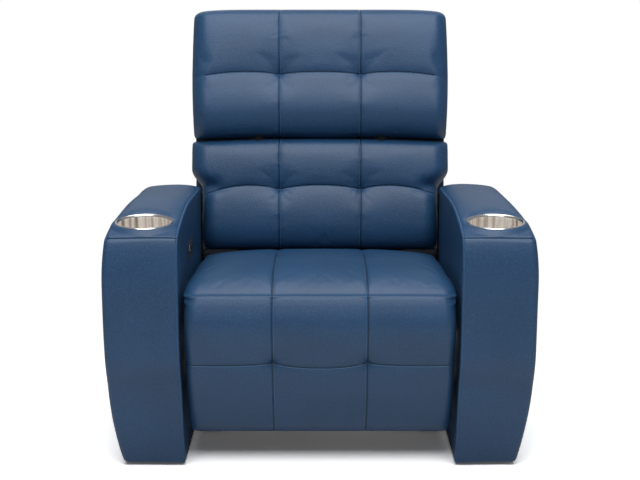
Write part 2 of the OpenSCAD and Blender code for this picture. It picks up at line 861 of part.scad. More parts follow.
module footrest_pad() {
    half = foot_half_w * (1 - foot_narrow_share);
    rings = [for (s = seat_shares) let(x = s * half) concat(
        [for (h = foot_height_shares) foot_point(s, h)],
        [[x, board_top_y - board_t, pad_top_z],
         [x, board_low_y - board_t + cut, board_low_z - cut], [x, board_low_y - board_t, foot_low + cut]]
    )];
    mid = [front_y + pad_mid_in, seam_h - tuft_drop];
    color(leather) difference() {
        loft(rings, [-half, mid[0], mid[1]], [half, mid[0], mid[1]]);
        on_board() translate([-board_w / 2, -board_t, -board_len])
            cube([board_w, 3 * board_t, board_len + board_t]);
        drive_relief();
    }
}

module footrest_hinge_leaf() {
    width = knuckle_x(1) - knuckle_x(0);
    color(steel) difference() {
        union() {
            translate([-hinge_half, hinge_y + knuckle_r / 2, leaf_z - plate])
                cube([2 * hinge_half, board_top_y - hinge_y - knuckle_r / 2, plate]);
            for (i = [1:2:knuckle_n - 1])
                translate([knuckle_x(i) + gap, hinge_y - knuckle_r / 2, leaf_z - plate])
                    cube([width - 2 * gap, knuckle_r, hinge_z - leaf_z + plate]);
            knuckles(1, gap);
        }
        translate([0, hinge_y, hinge_z]) x_bar(hinge_pin_r, -hinge_half - cut, hinge_half + cut);
    }
}

module footrest_hinge_pin() {
    color(bright) translate([0, hinge_y, hinge_z]) x_bar(hinge_pin_r, -hinge_half + gap, hinge_half - gap);
}

// A lever plate, in the side view, from its foot on a board to the drive pin
module lever_plate(foot_a, foot_b, tip, x) {
    reach = tip - (foot_a + foot_b) / 2;
    side = drive_pin_r * 1.5 * [-reach[1], reach[0]] / norm(reach);
    translate([x - lever_t / 2, 0, 0]) difference() {
        union() {
            rotate([90, 0, 90]) linear_extrude(lever_t) polygon([foot_a, foot_b, tip + side, tip - side]);
            translate([0, tip[0], tip[1]]) x_bar(1.7 * drive_pin_r, 0, lever_t);
        }
        translate([0, tip[0], tip[1]]) x_bar(drive_pin_r, -cut, lever_t + cut);
    }
}

lever_x = drive_x + yoke_t / 2 + lever_t / 2 + pad_gap;
// The footrest's lever stands on the board between these distances from its top
lever_foot_high = 95;
lever_foot_low = 150;

module footrest_lever() {
    color(steel) lever_plate(
        [board_top_y + lever_foot_low * sin(board_lean), pad_top_z - lever_foot_low * cos(board_lean)],
        [board_top_y + lever_foot_high * sin(board_lean), pad_top_z - lever_foot_high * cos(board_lean)],
        [foot_pin_y, foot_pin_z], -lever_x);
}

module footrest_lever_pin() {
    color(bright) translate([0, foot_pin_y, foot_pin_z])
        x_bar(drive_pin_r, -lever_x - lever_t / 2, -drive_x + yoke_t / 2 + pad_gap);
}

// Back, built in its own leaning frame
module lean() {
    translate([0, crease_y, crease_z]) rotate([-back_lean, 0, 0]) children();
}

function back_half_w(u) = u < ear_z ? back_low_w / 2 : back_top_w / 2;

module back_board() {
    color(wood) lean() translate([-back_board_w / 2, cushion_t, back_low - board_hang])
        cube([back_board_w, back_board_t, lumbar_h - back_low + board_hang]);
}

up_shares = [-1, -0.96, -0.88, -0.74, -0.56, -0.36, -0.2, -0.08, 0.02, 0.12, 0.24, 0.3, 0.36, 0.48, 0.62,
             0.78, 0.9, 0.97, 1];
lumbar_tuft = 142;
lumbar_edge = 12;
lumbar_belly = 52;
lumbar_arc_up = 4;
lumbar_arc_down = 7;
// Shares of the belly that are left at a cushion's lower and upper edges
lumbar_edge_shares = [0.3, 0.45];
arc_share = 1.6;
function lumbar_up(t) = mix(back_low, lumbar_h, (t + 1) / 2);
function lumbar_front(s, t) =
    let(u = lumbar_up(t), x = s * back_half_w(u),
        arc = lumbar_tuft + lumbar_arc_up * dome(x / (arc_share * stitch_x), 2) - lumbar_arc_down * s * s,
        full = mix(lumbar_edge_shares[t > 0 ? 1 : 0], 1, dome(t, 5)),
        sunk = sewn(x, u - arc) * dome(s, 6) + tufted(x, u - arc))
    [x, lumbar_edge - lumbar_belly * dome(s, 5) * full + sunk, u];

module lumbar_cushion() {
    color(leather) lean() cushion(
        seat_shares, up_shares, function(s, t) lumbar_front(s, t),
        function(s, t) [s * back_half_w(lumbar_up(t)), cushion_t, lumbar_up(t)]);
}

// A rear cover wraps its board, from the cushion at y0; half_at(t) and up_at(t) give its outline
cover_shares = [1, 0.96, 0.85, 0.5, 0, -0.5, -0.85, -0.96, -1];
cover_edge_share = 0.35;
module rear_cover(half_at, up_at, y0, rear) {
    full = function(s, t) cover_edge_share + (1 - cover_edge_share) * dome(s, 8) * dome(t, 8);
    cushion(cover_shares, up_shares,
            function(s, t) [s * half_at(t), rear + back_cover_t * full(s, t), up_at(t)],
            function(s, t) [s * half_at(t), y0, up_at(t)]);
}

module back_cover() {
    rear = cushion_t + back_board_t;
    half = bracket_x + bracket_t + gap;
    color(leather_dark) lean() difference() {
        rear_cover(function(t) back_half_w(lumbar_up(t)) - gap, function(t) lumbar_up(t),
                   cushion_t + gap, rear);
        translate([-half, 0, back_low - cut]) cube([2 * half, rear, lumbar_h - back_low + 2 * cut]);
    }
}

// Steel brackets at the back board's sides turn on the recline pins
module recline_brackets() {
    color(steel) lean() pair() difference() {
        translate([bracket_x, 0, 0]) rotate([90, 0, 90]) linear_extrude(bracket_t) union() {
            translate([pivot_in, pivot_up]) circle(r = bracket_r);
            polygon([[cushion_t, back_low], [cushion_t + back_board_t, back_low + bracket_up],
                     [cushion_t + back_board_t, back_low - board_hang], [pivot_in, pivot_up - bracket_r],
                     [pivot_in - bracket_r + gap, pivot_up + pivot_r]]);
        }
        translate([0, pivot_in, pivot_up])
            x_bar(pivot_r + run_fit, bracket_x - cut, bracket_x + bracket_t + cut);
    }
}

// A point of the leaning frame, seen from the side
function leaned(y, z) = [crease_y + y * cos(back_lean) + z * sin(back_lean),
                         crease_z - y * sin(back_lean) + z * cos(back_lean)];

module recline_lever() {
    color(steel) lever_plate(leaned(cushion_t, back_low - board_hang),
                             leaned(cushion_t + back_board_t, back_low - board_hang),
                             [back_pin_y, back_pin_z], lever_x);
}

module recline_lever_pin() {
    color(bright) translate([0, back_pin_y, back_pin_z])
        x_bar(drive_pin_r, drive_x - yoke_t / 2 - pad_gap, lever_x + lever_t / 2);
}

// Headrest and its friction hinge
module headrest_arms() {
    color(steel) lean() pair() difference() {
        union() {
            translate([head_arm_x, head_pivot_in, lumbar_h + gap])
                cube([head_arm_t, cushion_t + back_board_t - head_pivot_in, head_arm_h]);
            translate([0, head_pivot_in, head_pivot_up])
                x_bar(head_boss_r, head_arm_x, head_arm_x + head_arm_t);
            translate([head_arm_x, cushion_t, lumbar_h]) cube([6 * head_arm_t, back_board_t, head_arm_t]);
        }
        translate([0, head_pivot_in, head_pivot_up])
            x_bar(head_pin_r + run_fit, head_arm_x - cut, head_arm_x + head_arm_t + cut);
    }
}

head_side = 1.5;
head_half = back_top_w / 2 - head_side;
head_edge = 14;
head_belly = 56;
head_arc_up = 5;
head_arc_down = 9;
head_tail = 12;
head_edge_shares = [0.6, 0.3];
head_narrow_share = 0.012;
function head_up(t, tail) = mix(head_z + tail, head_top, (t + 1) / 2);
function head_half_at(t) = head_half * (1 - head_narrow_share * t * t);
function head_front(s, t) =
    let(u = head_up(t, 0), x = s * head_half_at(t),
        arc = head_z + head_h / 2 + head_arc_up * dome(x / (arc_share * stitch_x), 2) - head_arc_down * s * s,
        full = mix(head_edge_shares[t > 0 ? 1 : 0], 1, dome(t, 5)),
        sunk = sewn(x, u - arc) * dome(s, 6) + tufted(x, u - arc))
    [x, head_edge - head_belly * dome(s, 5) * full + sunk, u];

// The head cushion has a pocket for each hinge
pocket_side = 3;
pocket_front = 14;
pocket_h = 45;

module headrest_cushion() {
    color(leather) lean() difference() {
        cushion(seat_shares, up_shares, function(s, t) head_front(s, t),
                function(s, t) [s * head_half_at(t), head_in, head_up(t, head_tail)]);
        pair() translate([head_arm_x - pocket_side, head_pivot_in - pocket_front, head_z - cut])
            cube([2 * (head_arm_t + pocket_side), head_in - head_pivot_in + pocket_front + cut, pocket_h]);
    }
}

head_board_in = 20;

module headrest_board() {
    color(wood) lean() translate([-back_board_w / 2, head_in, head_z + head_board_in])
        cube([back_board_w, head_board_t, head_h - 2 * head_board_in]);
}

module headrest_cover() {
    rear = head_in + head_board_t;
    color(leather_dark) lean() difference() {
        rear_cover(function(t) head_half_at(t) - gap, function(t) head_up(t, head_tail), head_in + gap, rear);
        translate([-back_board_w / 2, 0, head_z]) cube([back_board_w, rear, head_h - head_board_in]);
    }
}

module headrest_brackets() {
    x0 = head_arm_x + head_arm_t + gap;
    color(steel) lean() pair() difference() {
        union() {
            translate([0, head_pivot_in, head_pivot_up]) x_bar(head_boss_r, x0, x0 + head_arm_t);
            translate([x0, head_pivot_in, head_pivot_up + head_arm_t])
                cube([head_arm_t, head_in - head_pivot_in, 2 * head_arm_t]);
        }
        translate([0, head_pivot_in, head_pivot_up]) x_bar(head_pin_r, x0 - cut, x0 + head_arm_t + cut);
    }
}

module headrest_pins() {
    color(bright) lean() pair() translate([0, head_pivot_in, head_pivot_up])
        x_bar(head_pin_r, head_arm_x - gap, head_arm_x + 2 * head_arm_t + gap);
}

left_arm_cover();
right_arm_cover();
left_arm_frame();
right_arm_frame();
left_cup_holder();
right_cup_holder();
control_panel();
open_button();
close_button();
charging_port();
floor_glides();
left_floor_rail();
right_floor_rail();
left_side_plate();
right_side_plate();
front_cross_tube();
rear_cross_tube();
seat_front_rail();
seat_rear_rail();
left_seat_rail();
right_seat_rail();
seat_webbing();
seat_cushion();
front_lip_plate();
arm_bolts();
arm_spacers();
recline_pins();
recline_bushes();
power_supply();
power_inlet();
footrest_actuator();
recline_actuator();
actuator_saddles();
footrest_rod();
recline_rod();
footrest_board();
footrest_pad();
footrest_hinge_leaf();
footrest_hinge_pin();
footrest_lever();
footrest_lever_pin();
back_board();
lumbar_cushion();
back_cover();
recline_brackets();
recline_lever();
recline_lever_pin();
headrest_arms();
headrest_board();
headrest_cushion();
headrest_cover();
headrest_brackets();
headrest_pins();
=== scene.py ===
import json
import math

import bpy
import numpy as np
from mathutils import Matrix, Vector


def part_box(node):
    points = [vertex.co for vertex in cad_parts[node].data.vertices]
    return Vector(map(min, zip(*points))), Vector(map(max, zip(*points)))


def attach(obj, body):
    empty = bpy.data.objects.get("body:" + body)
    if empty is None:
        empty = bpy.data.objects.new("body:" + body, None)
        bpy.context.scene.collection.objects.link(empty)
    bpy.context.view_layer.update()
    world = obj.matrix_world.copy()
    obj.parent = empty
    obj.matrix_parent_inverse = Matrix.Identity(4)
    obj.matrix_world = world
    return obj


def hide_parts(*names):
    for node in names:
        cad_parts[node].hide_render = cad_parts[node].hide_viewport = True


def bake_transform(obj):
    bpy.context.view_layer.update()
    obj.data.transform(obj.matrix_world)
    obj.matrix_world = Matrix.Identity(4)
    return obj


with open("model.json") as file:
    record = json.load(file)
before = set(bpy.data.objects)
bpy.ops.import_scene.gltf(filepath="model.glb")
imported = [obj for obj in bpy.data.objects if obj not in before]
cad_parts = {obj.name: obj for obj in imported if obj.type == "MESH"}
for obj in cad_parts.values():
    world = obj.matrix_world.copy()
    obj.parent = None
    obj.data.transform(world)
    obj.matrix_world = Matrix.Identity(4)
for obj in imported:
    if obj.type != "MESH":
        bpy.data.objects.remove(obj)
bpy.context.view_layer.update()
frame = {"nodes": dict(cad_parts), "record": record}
bpy.ops.object.select_all(action="DESELECT")

# Studio. A pale floor that fades into a white surround, and three soft lamps: a large one in front and above,
# one overhead and a weak one behind. The camera stands where the photograph was taken.
view = bpy.data.cameras.new("view")
view.sensor_width = 36
view.lens = 76.3
camera = bpy.data.objects.new("view", view)
camera.location = (0, -3.268, 1.079)
camera.rotation_euler = (math.radians(78.5), 0, 0)
bpy.context.scene.collection.objects.link(camera)
bpy.context.scene.camera = camera
bpy.context.scene.view_settings.view_transform = "Standard"


def lamp(name, place, aim, width, depth, power):
    """A rectangular soft lamp that the camera doesn't see."""
    data = bpy.data.lights.new(name, "AREA")
    data.shape = "RECTANGLE"
    data.size = width
    data.size_y = depth
    data.energy = power
    obj = bpy.data.objects.new(name, data)
    obj.location = place
    obj.rotation_euler = (Vector(aim) - Vector(place)).to_track_quat("-Z", "Y").to_euler()
    obj.visible_camera = False
    bpy.context.scene.collection.objects.link(obj)


lamp("front_lamp", (0, -2.3, 3.0), (0, 0, 0.6), 3.0, 1.8, 96)
lamp("top_lamp", (0, -0.3, 3.3), (0, -0.1, 0.5), 2.8, 2.0, 56)
lamp("rear_lamp", (0, 2.7, 2.0), (0, 0, 0.6), 3.0, 1.3, 9)


def node_adder(tree):
    """Empties a node tree and gives a function that adds a node to it with its input values."""
    tree.nodes.clear()

    def add(kind, inputs=None, **settings):
        node = tree.nodes.new(kind)
        for key, value in settings.items():
            setattr(node, key, value)
        for key, value in (inputs or {}).items():
            if isinstance(value, bpy.types.NodeSocket):
                tree.links.new(value, node.inputs[key])
            else:
                node.inputs[key].default_value = value
        return node

    return add


def nodes_of(name):
    """A new node material and the function that adds its nodes."""
    material = bpy.data.materials.new(name)
    material.use_nodes = True
    return material, node_adder(material.node_tree)


def finished(material, add, colour, relief, roughness, **more):
    """Joins colour, relief and roughness in the material's one shader."""
    shader = add("ShaderNodeBsdfPrincipled", {"Base Color": colour, "Normal": relief.outputs[0],
                                              "Roughness": roughness})
    for key, value in more.items():
        shader.inputs[key.replace("_", " ")].default_value = value
    add("ShaderNodeOutputMaterial", {"Surface": shader.outputs[0]})
    return material


def spread(add, value, low, high, start=0.3, end=0.7, **settings):
    """Carries a value from the range start to end over to the range low to high."""
    return add("ShaderNodeMapRange", {"Value": value, "From Min": start, "From Max": end,
                                      "To Min": low, "To Max": high}, **settings).outputs["Result"]


def ramp(add, factor, *stops):
    """A colour ramp; each stop is a place and a grey value or a colour."""
    node = add("ShaderNodeValToRGB", {"Fac": factor})
    while len(node.color_ramp.elements) < len(stops):
        node.color_ramp.elements.new(0.5)
    for element, (place, value) in zip(node.color_ramp.elements, stops):
        element.position = place
        element.color = (*value, 1) if isinstance(value, tuple) else (value, value, value, 1)
    return node.outputs["Color"]


def mix(add, factor, first, second):
    """A blend of two colours."""
    return add("ShaderNodeMix", {0: factor, 6: first, 7: second}, data_type="RGBA").outputs[2]


def srgb(r, g, b):
    """A colour given as its 0 to 255 screen values."""
    return tuple(((c / 255 + 0.055) / 1.055) ** 2.4 if c > 10 else c / 255 / 12.92 for c in (r, g, b))


surround_strength, gloss_strength = 0.10, 0.16
world = bpy.data.worlds.new("surround")
world.use_nodes = True
bpy.context.scene.world = world
add = node_adder(world.node_tree)
rays = add("ShaderNodeLightPath").outputs
seen = add("ShaderNodeMath", {0: rays["Is Camera Ray"], 1: rays["Is Transmission Ray"]}, operation="MAXIMUM")
level = add("ShaderNodeMath", {0: rays["Is Glossy Ray"], 1: gloss_strength, 2: surround_strength},
            operation="MULTIPLY_ADD")
lit = add("ShaderNodeBackground", {"Color": (1, 1, 1, 1), "Strength": level.outputs[0]})
white = add("ShaderNodeBackground", {"Color": (1, 1, 1, 1)})
mixed = add("ShaderNodeMixShader", {0: seen.outputs[0], 1: lit.outputs[0], 2: white.outputs[0]})
add("ShaderNodeOutputWorld", {"Surface": mixed.outputs[0]})

foot_centre, foot_reach, fade_width = (0, -0.13, 0), (0.46, 0.42, 0), 0.42
bpy.ops.mesh.primitive_circle_add(vertices=96, radius=9, fill_type="NGON")
floor = bpy.context.object
floor.name = "floor"
material, add = nodes_of("floor")
place = add("ShaderNodeTexCoord").outputs["Object"]
aside = add("ShaderNodeVectorMath", {0: place, 1: foot_centre}, operation="SUBTRACT").outputs["Vector"]
aside = add("ShaderNodeVectorMath", {0: aside}, operation="ABSOLUTE").outputs["Vector"]
aside = add("ShaderNodeVectorMath", {0: aside, 1: foot_reach}, operation="SUBTRACT").outputs["Vector"]
aside = add("ShaderNodeVectorMath", {0: aside, 1: (0, 0, 0)}, operation="MAXIMUM").outputs["Vector"]
far = add("ShaderNodeVectorMath", {0: aside}, operation="LENGTH").outputs["Value"]
fade = spread(add, far, 0.0, 1.0, 0.0, fade_width, interpolation_type="SMOOTHSTEP")
seen = add("ShaderNodeLightPath").outputs["Is Camera Ray"]
share = add("ShaderNodeMath", {0: fade, 1: seen}, operation="MULTIPLY")
pale = add("ShaderNodeBsdfDiffuse", {"Color": (0.80, 0.80, 0.80, 1)})
lift = add("ShaderNodeBsdfDiffuse", {"Color": (0.88, 0.88, 0.88, 1)})
off = add("ShaderNodeBsdfTransparent", {"Color": (0, 0, 0, 1)})
dim = add("ShaderNodeEmission", {"Color": (1, 1, 1, 1), "Strength": 0.06})
lifted = add("ShaderNodeAddShader", {0: lift.outputs[0], 1: dim.outputs[0]})
extra = add("ShaderNodeMixShader", {0: seen, 1: off.outputs[0], 2: lifted.outputs[0]})
matt = add("ShaderNodeAddShader", {0: pale.outputs[0], 1: extra.outputs[0]})
glow = add("ShaderNodeEmission", {"Color": (1, 1, 1, 1), "Strength": 1})
both = add("ShaderNodeMixShader", {0: share.outputs[0], 1: matt.outputs[0], 2: glow.outputs[0]})
add("ShaderNodeOutputMaterial", {"Surface": both.outputs[0]})
floor.data.materials.append(material)


# Arms. A plywood box under foam and pebbled leather. The front and top are one boxing panel with a seam
# where the front meets the top, and it is sewn to the inner panel along the inner edge.
def points(obj, what="co"):
    values = np.empty(len(obj.data.vertices) * 3, np.float32)
    obj.data.vertices.foreach_get(what, values)
    return values.reshape(-1, 3).astype(float)


def place_points(obj, co):
    obj.data.vertices.foreach_set("co", np.asarray(co, np.float32).ravel())
    obj.data.update()


def ease(value):
    value = np.clip(value, 0, 1)
    return value * value * (3 - 2 * value)


def bump(distance, width):
    return np.exp(-((distance / width) ** 2))


def mark_seams(obj, lengthwise, crosswise=None):
    """Keeps each point's distance to its nearest seams, so that the leather can draw them sharply."""
    for name, values in (("lengthwise", lengthwise), ("crosswise", crosswise)):
        found = obj.data.attributes.get(name) or obj.data.attributes.new(name, "FLOAT", "POINT")
        values = np.ones(len(obj.data.vertices)) if values is None else values
        found.data.foreach_set("value", np.asarray(values, np.float32))


def only(obj):
    bpy.ops.object.select_all(action="DESELECT")
    obj.select_set(True)
    bpy.context.view_layer.objects.active = obj


def finish_soft(obj, levels=1):
    """One subdivision, applied, and smooth shading."""
    only(obj)
    if levels:
        modifier = obj.modifiers.new("smooth", "SUBSURF")
        modifier.levels = modifier.render_levels = levels
        bpy.ops.object.modifier_apply(modifier=modifier.name)
    bpy.ops.object.shade_smooth()


def noise(co, scale, seed):
    """Smooth waves of many directions, between about -1 and 1, the same at every run."""
    random = np.random.default_rng(seed)
    total = np.zeros(len(co))
    for _ in range(7):
        way = random.normal(size=3)
        way *= scale * random.uniform(0.6, 1.6) / np.linalg.norm(way)
        total += np.sin(co @ way + random.uniform(0, 6.28))
    return total / 3.2


def leather(name, tint, speck, grain=430.0):
    """Pebbled leather: small cells in the bump, pale specks, a cloudy tone and dark sewn lines, each with a
    painted highlight beside it, a pale line in the colour that stands in for light on the seam's edge."""
    material, add = nodes_of(name)
    place = add("ShaderNodeTexCoord").outputs["Object"]
    cells = add("ShaderNodeTexVoronoi", {"Vector": place, "Scale": grain, "Randomness": 0.9},
                feature="SMOOTH_F1").outputs["Distance"]
    fine = add("ShaderNodeTexNoise", {"Vector": place, "Scale": 520.0, "Detail": 3.0, "Roughness": 0.65})
    cloud = add("ShaderNodeTexNoise", {"Vector": place, "Scale": 9.0, "Detail": 3.0, "Roughness": 0.5})
    sewn_width, dip_width, highlight_width = 0.0011, 0.0026, 0.0045

    def seam_share(reach):
        """1 on a sewn line, falling to 0 at the reach from it."""
        shares = []
        for seam in ("lengthwise", "crosswise"):
            off = add("ShaderNodeMath", {0: add("ShaderNodeAttribute", attribute_name=seam).outputs["Fac"]},
                      operation="ABSOLUTE").outputs[0]
            shares.append(spread(add, off, 1.0, 0.0, 0.25 * reach, reach, interpolation_type="SMOOTHSTEP"))
        return add("ShaderNodeMath", {0: shares[0], 1: shares[1]}, operation="MAXIMUM").outputs[0]

    # Painted highlight: a pale line about two millimetres to one side of each sewn line, in the colour alone.
    seam_highlights = []
    for seam in ("lengthwise", "crosswise"):
        off = add("ShaderNodeAttribute", attribute_name=seam).outputs["Fac"]
        beside = spread(add, off, 0.0, 1.0, -highlight_width, 0.0)
        seam_highlights.append(ramp(add, beside, (0.0, 0.0), (0.28, 0.0), (0.52, 1.0), (0.72, 0.0), (1.0, 0.0)))
    seam_highlight = add("ShaderNodeMath", {0: seam_highlights[0], 1: seam_highlights[1]}, operation="MAXIMUM").outputs[0]
    seam_highlight = add("ShaderNodeMath", {0: seam_highlight, 1: 0.7}, operation="MULTIPLY").outputs[0]
    tone = mix(add, ramp(add, cloud.outputs["Fac"], (0.3, 0.35), (0.7, 1.0)),
               (*(0.72 * c for c in tint), 1), (*tint, 1))
    specks = mix(add, ramp(add, fine.outputs["Fac"], (0.5, 0.0), (0.72, 0.75)), tone, (*speck, 1))
    shine = mix(add, seam_highlight, specks, (*(1.9 * c for c in speck), 1))
    lines = mix(add, seam_share(sewn_width), shine, (*(0.12 * c for c in tint), 1))
    height = add("ShaderNodeMath", {0: cells, 1: fine.outputs["Fac"]}, operation="ADD")
    pebbles = add("ShaderNodeBump", {"Height": height.outputs[0], "Strength": 0.35, "Distance": 0.0009})
    relief = add("ShaderNodeBump", {"Height": seam_share(dip_width), "Strength": 1.0, "Distance": 0.0016,
                                    "Normal": pebbles.outputs[0]}, invert=True)
    rough = spread(add, fine.outputs["Fac"], 0.38, 0.54)
    return finished(material, add, lines, relief, rough, Specular_IOR_Level=0.45)


blue_leather = leather("blue_leather", srgb(24, 62, 98), srgb(54, 92, 126))
rear_leather = leather("rear_leather", srgb(21, 54, 86), srgb(47, 80, 110))

arm_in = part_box("right_arm_cover")[0].x
arm_w, arm_h, arm_len = 0.160, 0.525, 0.562
arm_front, arm_floor = -0.515, 0.006
arm_rise, arm_fall, arm_crown, arm_belly, arm_toe, arm_tuck = 0.032, 0.018, 0.009, 0.017, 0.064, 0.025
cup_place = Vector((0.3726, -0.438, 0.544))
cup_tilt = math.radians(4)
cup_rim_r = 0.062
bore_r, bore_depth, bore_sunk = cup_rim_r - 0.003, 0.2, 0.08
inner_seam, outer_seam, front_seam = 0.0036, 0.027, 0.5235
arm_rows = 60
# Rows of the block and their distance from the inner face, from the front and from the floor
across_keys = [(0, 0), (2, 0.0013), (4, 0.0027), (5, inner_seam), (6, 0.0046), (8, 0.0075), (12, 0.020),
               (30, 0.076), (44, 0.124), (50, 0.142), (58, 0.158), (arm_rows, arm_w)]
along_keys = [(0, 0), (5, 0.008), (10, 0.0245), (11, 0.0262), (12, 0.0278), (13, 0.030), (34, 0.150),
              (55, 0.535), (arm_rows, arm_len)]
up_keys = [(0, arm_floor), (4, 0.013), (40, 0.43), (48, 0.4955), (49, 0.498), (50, 0.501), (53, 0.512),
           (56, 0.519), (57, 0.5205), (58, 0.522), (59, front_seam), (arm_rows, arm_h)]


def keyed(rows, keys):
    return np.interp(rows, [k[0] for k in keys], [k[1] for k in keys])


def arm_cover(name, side):
    bpy.ops.object.select_all(action="DESELECT")
    bpy.ops.mesh.primitive_cube_add(size=2)
    obj = bpy.context.object
    obj.name = obj.data.name = name
    bpy.ops.object.mode_set(mode="EDIT")
    bpy.ops.mesh.subdivide(number_cuts=arm_rows - 1)
    bpy.ops.object.mode_set(mode="OBJECT")
    rows = np.rint((points(obj) + 1) / 2 * arm_rows)
    flat = np.stack([keyed(rows[:, 0], across_keys), keyed(rows[:, 1], along_keys),
                     keyed(rows[:, 2], up_keys)], axis=1)
    # Every edge is rounded, tightly along the inner seam, more softly along the outer side towards the rear
    radius = 0.0045 + (0.0075 + 0.024 * ease((flat[:, 1] - 0.03) / 0.2) * ease((flat[:, 2] - 0.35) / 0.1)) \
        * ease((flat[:, 0] / arm_w - 0.05) / 0.85)
    low = np.array([0, 0, arm_floor]) + radius[:, None]
    high = np.array([arm_w, arm_len, arm_h]) - radius[:, None]
    core = np.clip(flat, low, high)
    out = flat - core
    size = np.linalg.norm(out, axis=1)
    size[size == 0] = 1
    co = core + out / size[:, None] * radius[:, None]
    w, l, h = co[:, 0] / arm_w, co[:, 1] / arm_len, (co[:, 2] - arm_floor) / (arm_h - arm_floor)
    ahead = ease(1 - co[:, 1] / 0.34)
    belly = arm_belly * (1 - np.abs(2 * np.clip((h - 0.38) / 0.62, 0, 1) - 1) ** 4)
    toe = arm_toe * np.clip((0.5 - h) / 0.5, 0, 1) ** 1.2
    crown = arm_crown * (1 - np.abs(1 - 2 * w) ** 2.4) * (0.1 + 0.9 * ease(l / 0.12))
    rise = arm_rise * (1 - (1 - np.minimum(1, 1.2 * l)) ** 3) - arm_fall * ease((l - 0.3) / 0.7)
    raised = ease((h - 0.72) / 0.28)
    tuck = (arm_tuck * np.clip((0.4 - h) / 0.4, 0, 1) ** 1.8
            + arm_tuck / 3 * np.clip((h - 0.8) / 0.2, 0, 1) ** 2)
    x = arm_in + w * (arm_w - tuck)
    y = arm_front + co[:, 1] + (toe - belly) * ahead
    z = co[:, 2] + (rise + crown) * raised
    # The top presses down to the cup's rim
    rim_z = cup_place.z + math.tan(cup_tilt) * (y - cup_place.y) - 0.0012
    near = 1 - ease((np.hypot(x - cup_place.x, y - cup_place.y) - cup_rim_r - 0.001) / 0.013)
    z = np.where(h > 0.9, z + (rim_z - z) * near * ease((h - 0.97) / 0.03), z)
    # Slack of the leather over the foam, weaker on the tight front
    slack = noise(flat, 22, 5 if side > 0 else 8) * 0.0011 * ease(co[:, 0] / 0.02)
    place_points(obj, np.stack([x, y, z], axis=1))
    front_or_top = (rows[:, 1] == 0) | (rows[:, 2] == arm_rows)
    outer = rows[:, 0] == arm_rows
    seam_in = np.where(front_or_top, flat[:, 0] - inner_seam, 1)
    seam_top = np.where(rows[:, 1] == 0, flat[:, 2] - front_seam, 1)
    edge = np.minimum(flat[:, 1], arm_h - flat[:, 2])
    seam_out = np.where(outer & (flat[:, 1] < arm_len - 0.02), np.abs(edge - outer_seam), 1)
    groove = sum(0.0012 * bump(d, 0.0011) + 0.0011 * bump(d, 0.005) for d in (seam_in, seam_top, seam_out))
    place_points(obj, points(obj) + points(obj, "normal") * (slack - groove)[:, None])
    # The inner seam shows as a painted pale highlight alone, so its mark stays on the highlight's side of the
    # line
    mark_seams(obj, -0.0022 - np.abs(seam_in),
               np.where(np.abs(seam_top) < np.abs(seam_out), seam_top, seam_out))
    if side < 0:
        co = points(obj)
        co[:, 0] *= -1
        place_points(obj, co)
        only(obj)
        bpy.ops.object.mode_set(mode="EDIT")
        bpy.ops.mesh.select_all(action="SELECT")
        bpy.ops.mesh.flip_normals()
        bpy.ops.object.mode_set(mode="OBJECT")
    finish_soft(obj)
    return obj


def cut_away(obj, tool):
    """Cuts a tool's shape out of a piece and deletes the tool."""
    only(obj)
    modifier = obj.modifiers.new("cut", "BOOLEAN")
    modifier.operation = "DIFFERENCE"
    modifier.solver = "EXACT"
    modifier.object = tool
    bpy.ops.object.modifier_apply(modifier=modifier.name)
    bpy.data.objects.remove(tool)


for side, name in ((1, "right"), (-1, "left")):
    cover = arm_cover(name + "_arm_leather", side)
    bpy.ops.object.select_all(action="DESELECT")
    bore_place = (side * cup_place.x, cup_place.y + bore_sunk * math.sin(cup_tilt),
                  cup_place.z - bore_sunk * math.cos(cup_tilt))
    bpy.ops.mesh.primitive_cylinder_add(vertices=96, radius=bore_r, depth=bore_depth, location=bore_place,
                                        rotation=(cup_tilt, 0, 0))
    cut_away(cover, bpy.context.object)
    if side < 0:
        low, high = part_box("control_panel")
        bpy.ops.object.select_all(action="DESELECT")
        bpy.ops.mesh.primitive_cube_add(size=1, location=(low + high) / 2,
                                        scale=(high.x - low.x + 0.01, high.y - low.y + 0.0004,
                                               high.z - low.z + 0.0004))
        cut_away(cover, bpy.context.object)
    only(cover)
    bpy.ops.object.shade_smooth_by_angle(angle=math.radians(50))
    cover.data.materials.append(blue_leather)
    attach(cover, "base")
    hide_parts(name + "_arm_cover")


# Cups. Deep-drawn stainless steel with a narrow rolled rim and painted reflections streaked up the wall,
# dropped into the arm. The rim is the thin bright ring that shows from the front.
def metal(name, tint, roughness, along=(1, 1, 1), fleck=60.0, depth=0.00008):
    """Worked metal: long faint scratches along one direction, cloudy gloss and a trace of bump."""
    material, add = nodes_of(name)
    place = add("ShaderNodeTexCoord").outputs["Object"]
    pulled = add("ShaderNodeMapping", {"Vector": place, "Scale": along}).outputs["Vector"]
    lines = add("ShaderNodeTexNoise", {"Vector": pulled, "Scale": fleck, "Detail": 5.0, "Roughness": 0.7})
    cloud = add("ShaderNodeTexNoise", {"Vector": place, "Scale": 14.0, "Detail": 2.0})
    tone = mix(add, ramp(add, lines.outputs["Fac"], (0.3, 0.0), (0.7, 1.0)),
               (*(0.78 * c for c in tint), 1), (*tint, 1))
    both = add("ShaderNodeMath", {0: lines.outputs["Fac"], 1: cloud.outputs["Fac"]}, operation="ADD")
    rough = spread(add, both.outputs[0], 0.75 * roughness, 1.25 * roughness, 0.6, 1.4)
    relief = add("ShaderNodeBump", {"Height": lines.outputs["Fac"], "Strength": 0.4, "Distance": depth})
    return finished(material, add, tone, relief, rough, Metallic=1)


def show_as(material, *names):
    """Gives CAD nodes their material."""
    for name in names:
        slots = frame["nodes"][name].data.materials
        slots.clear()
        slots.append(material)


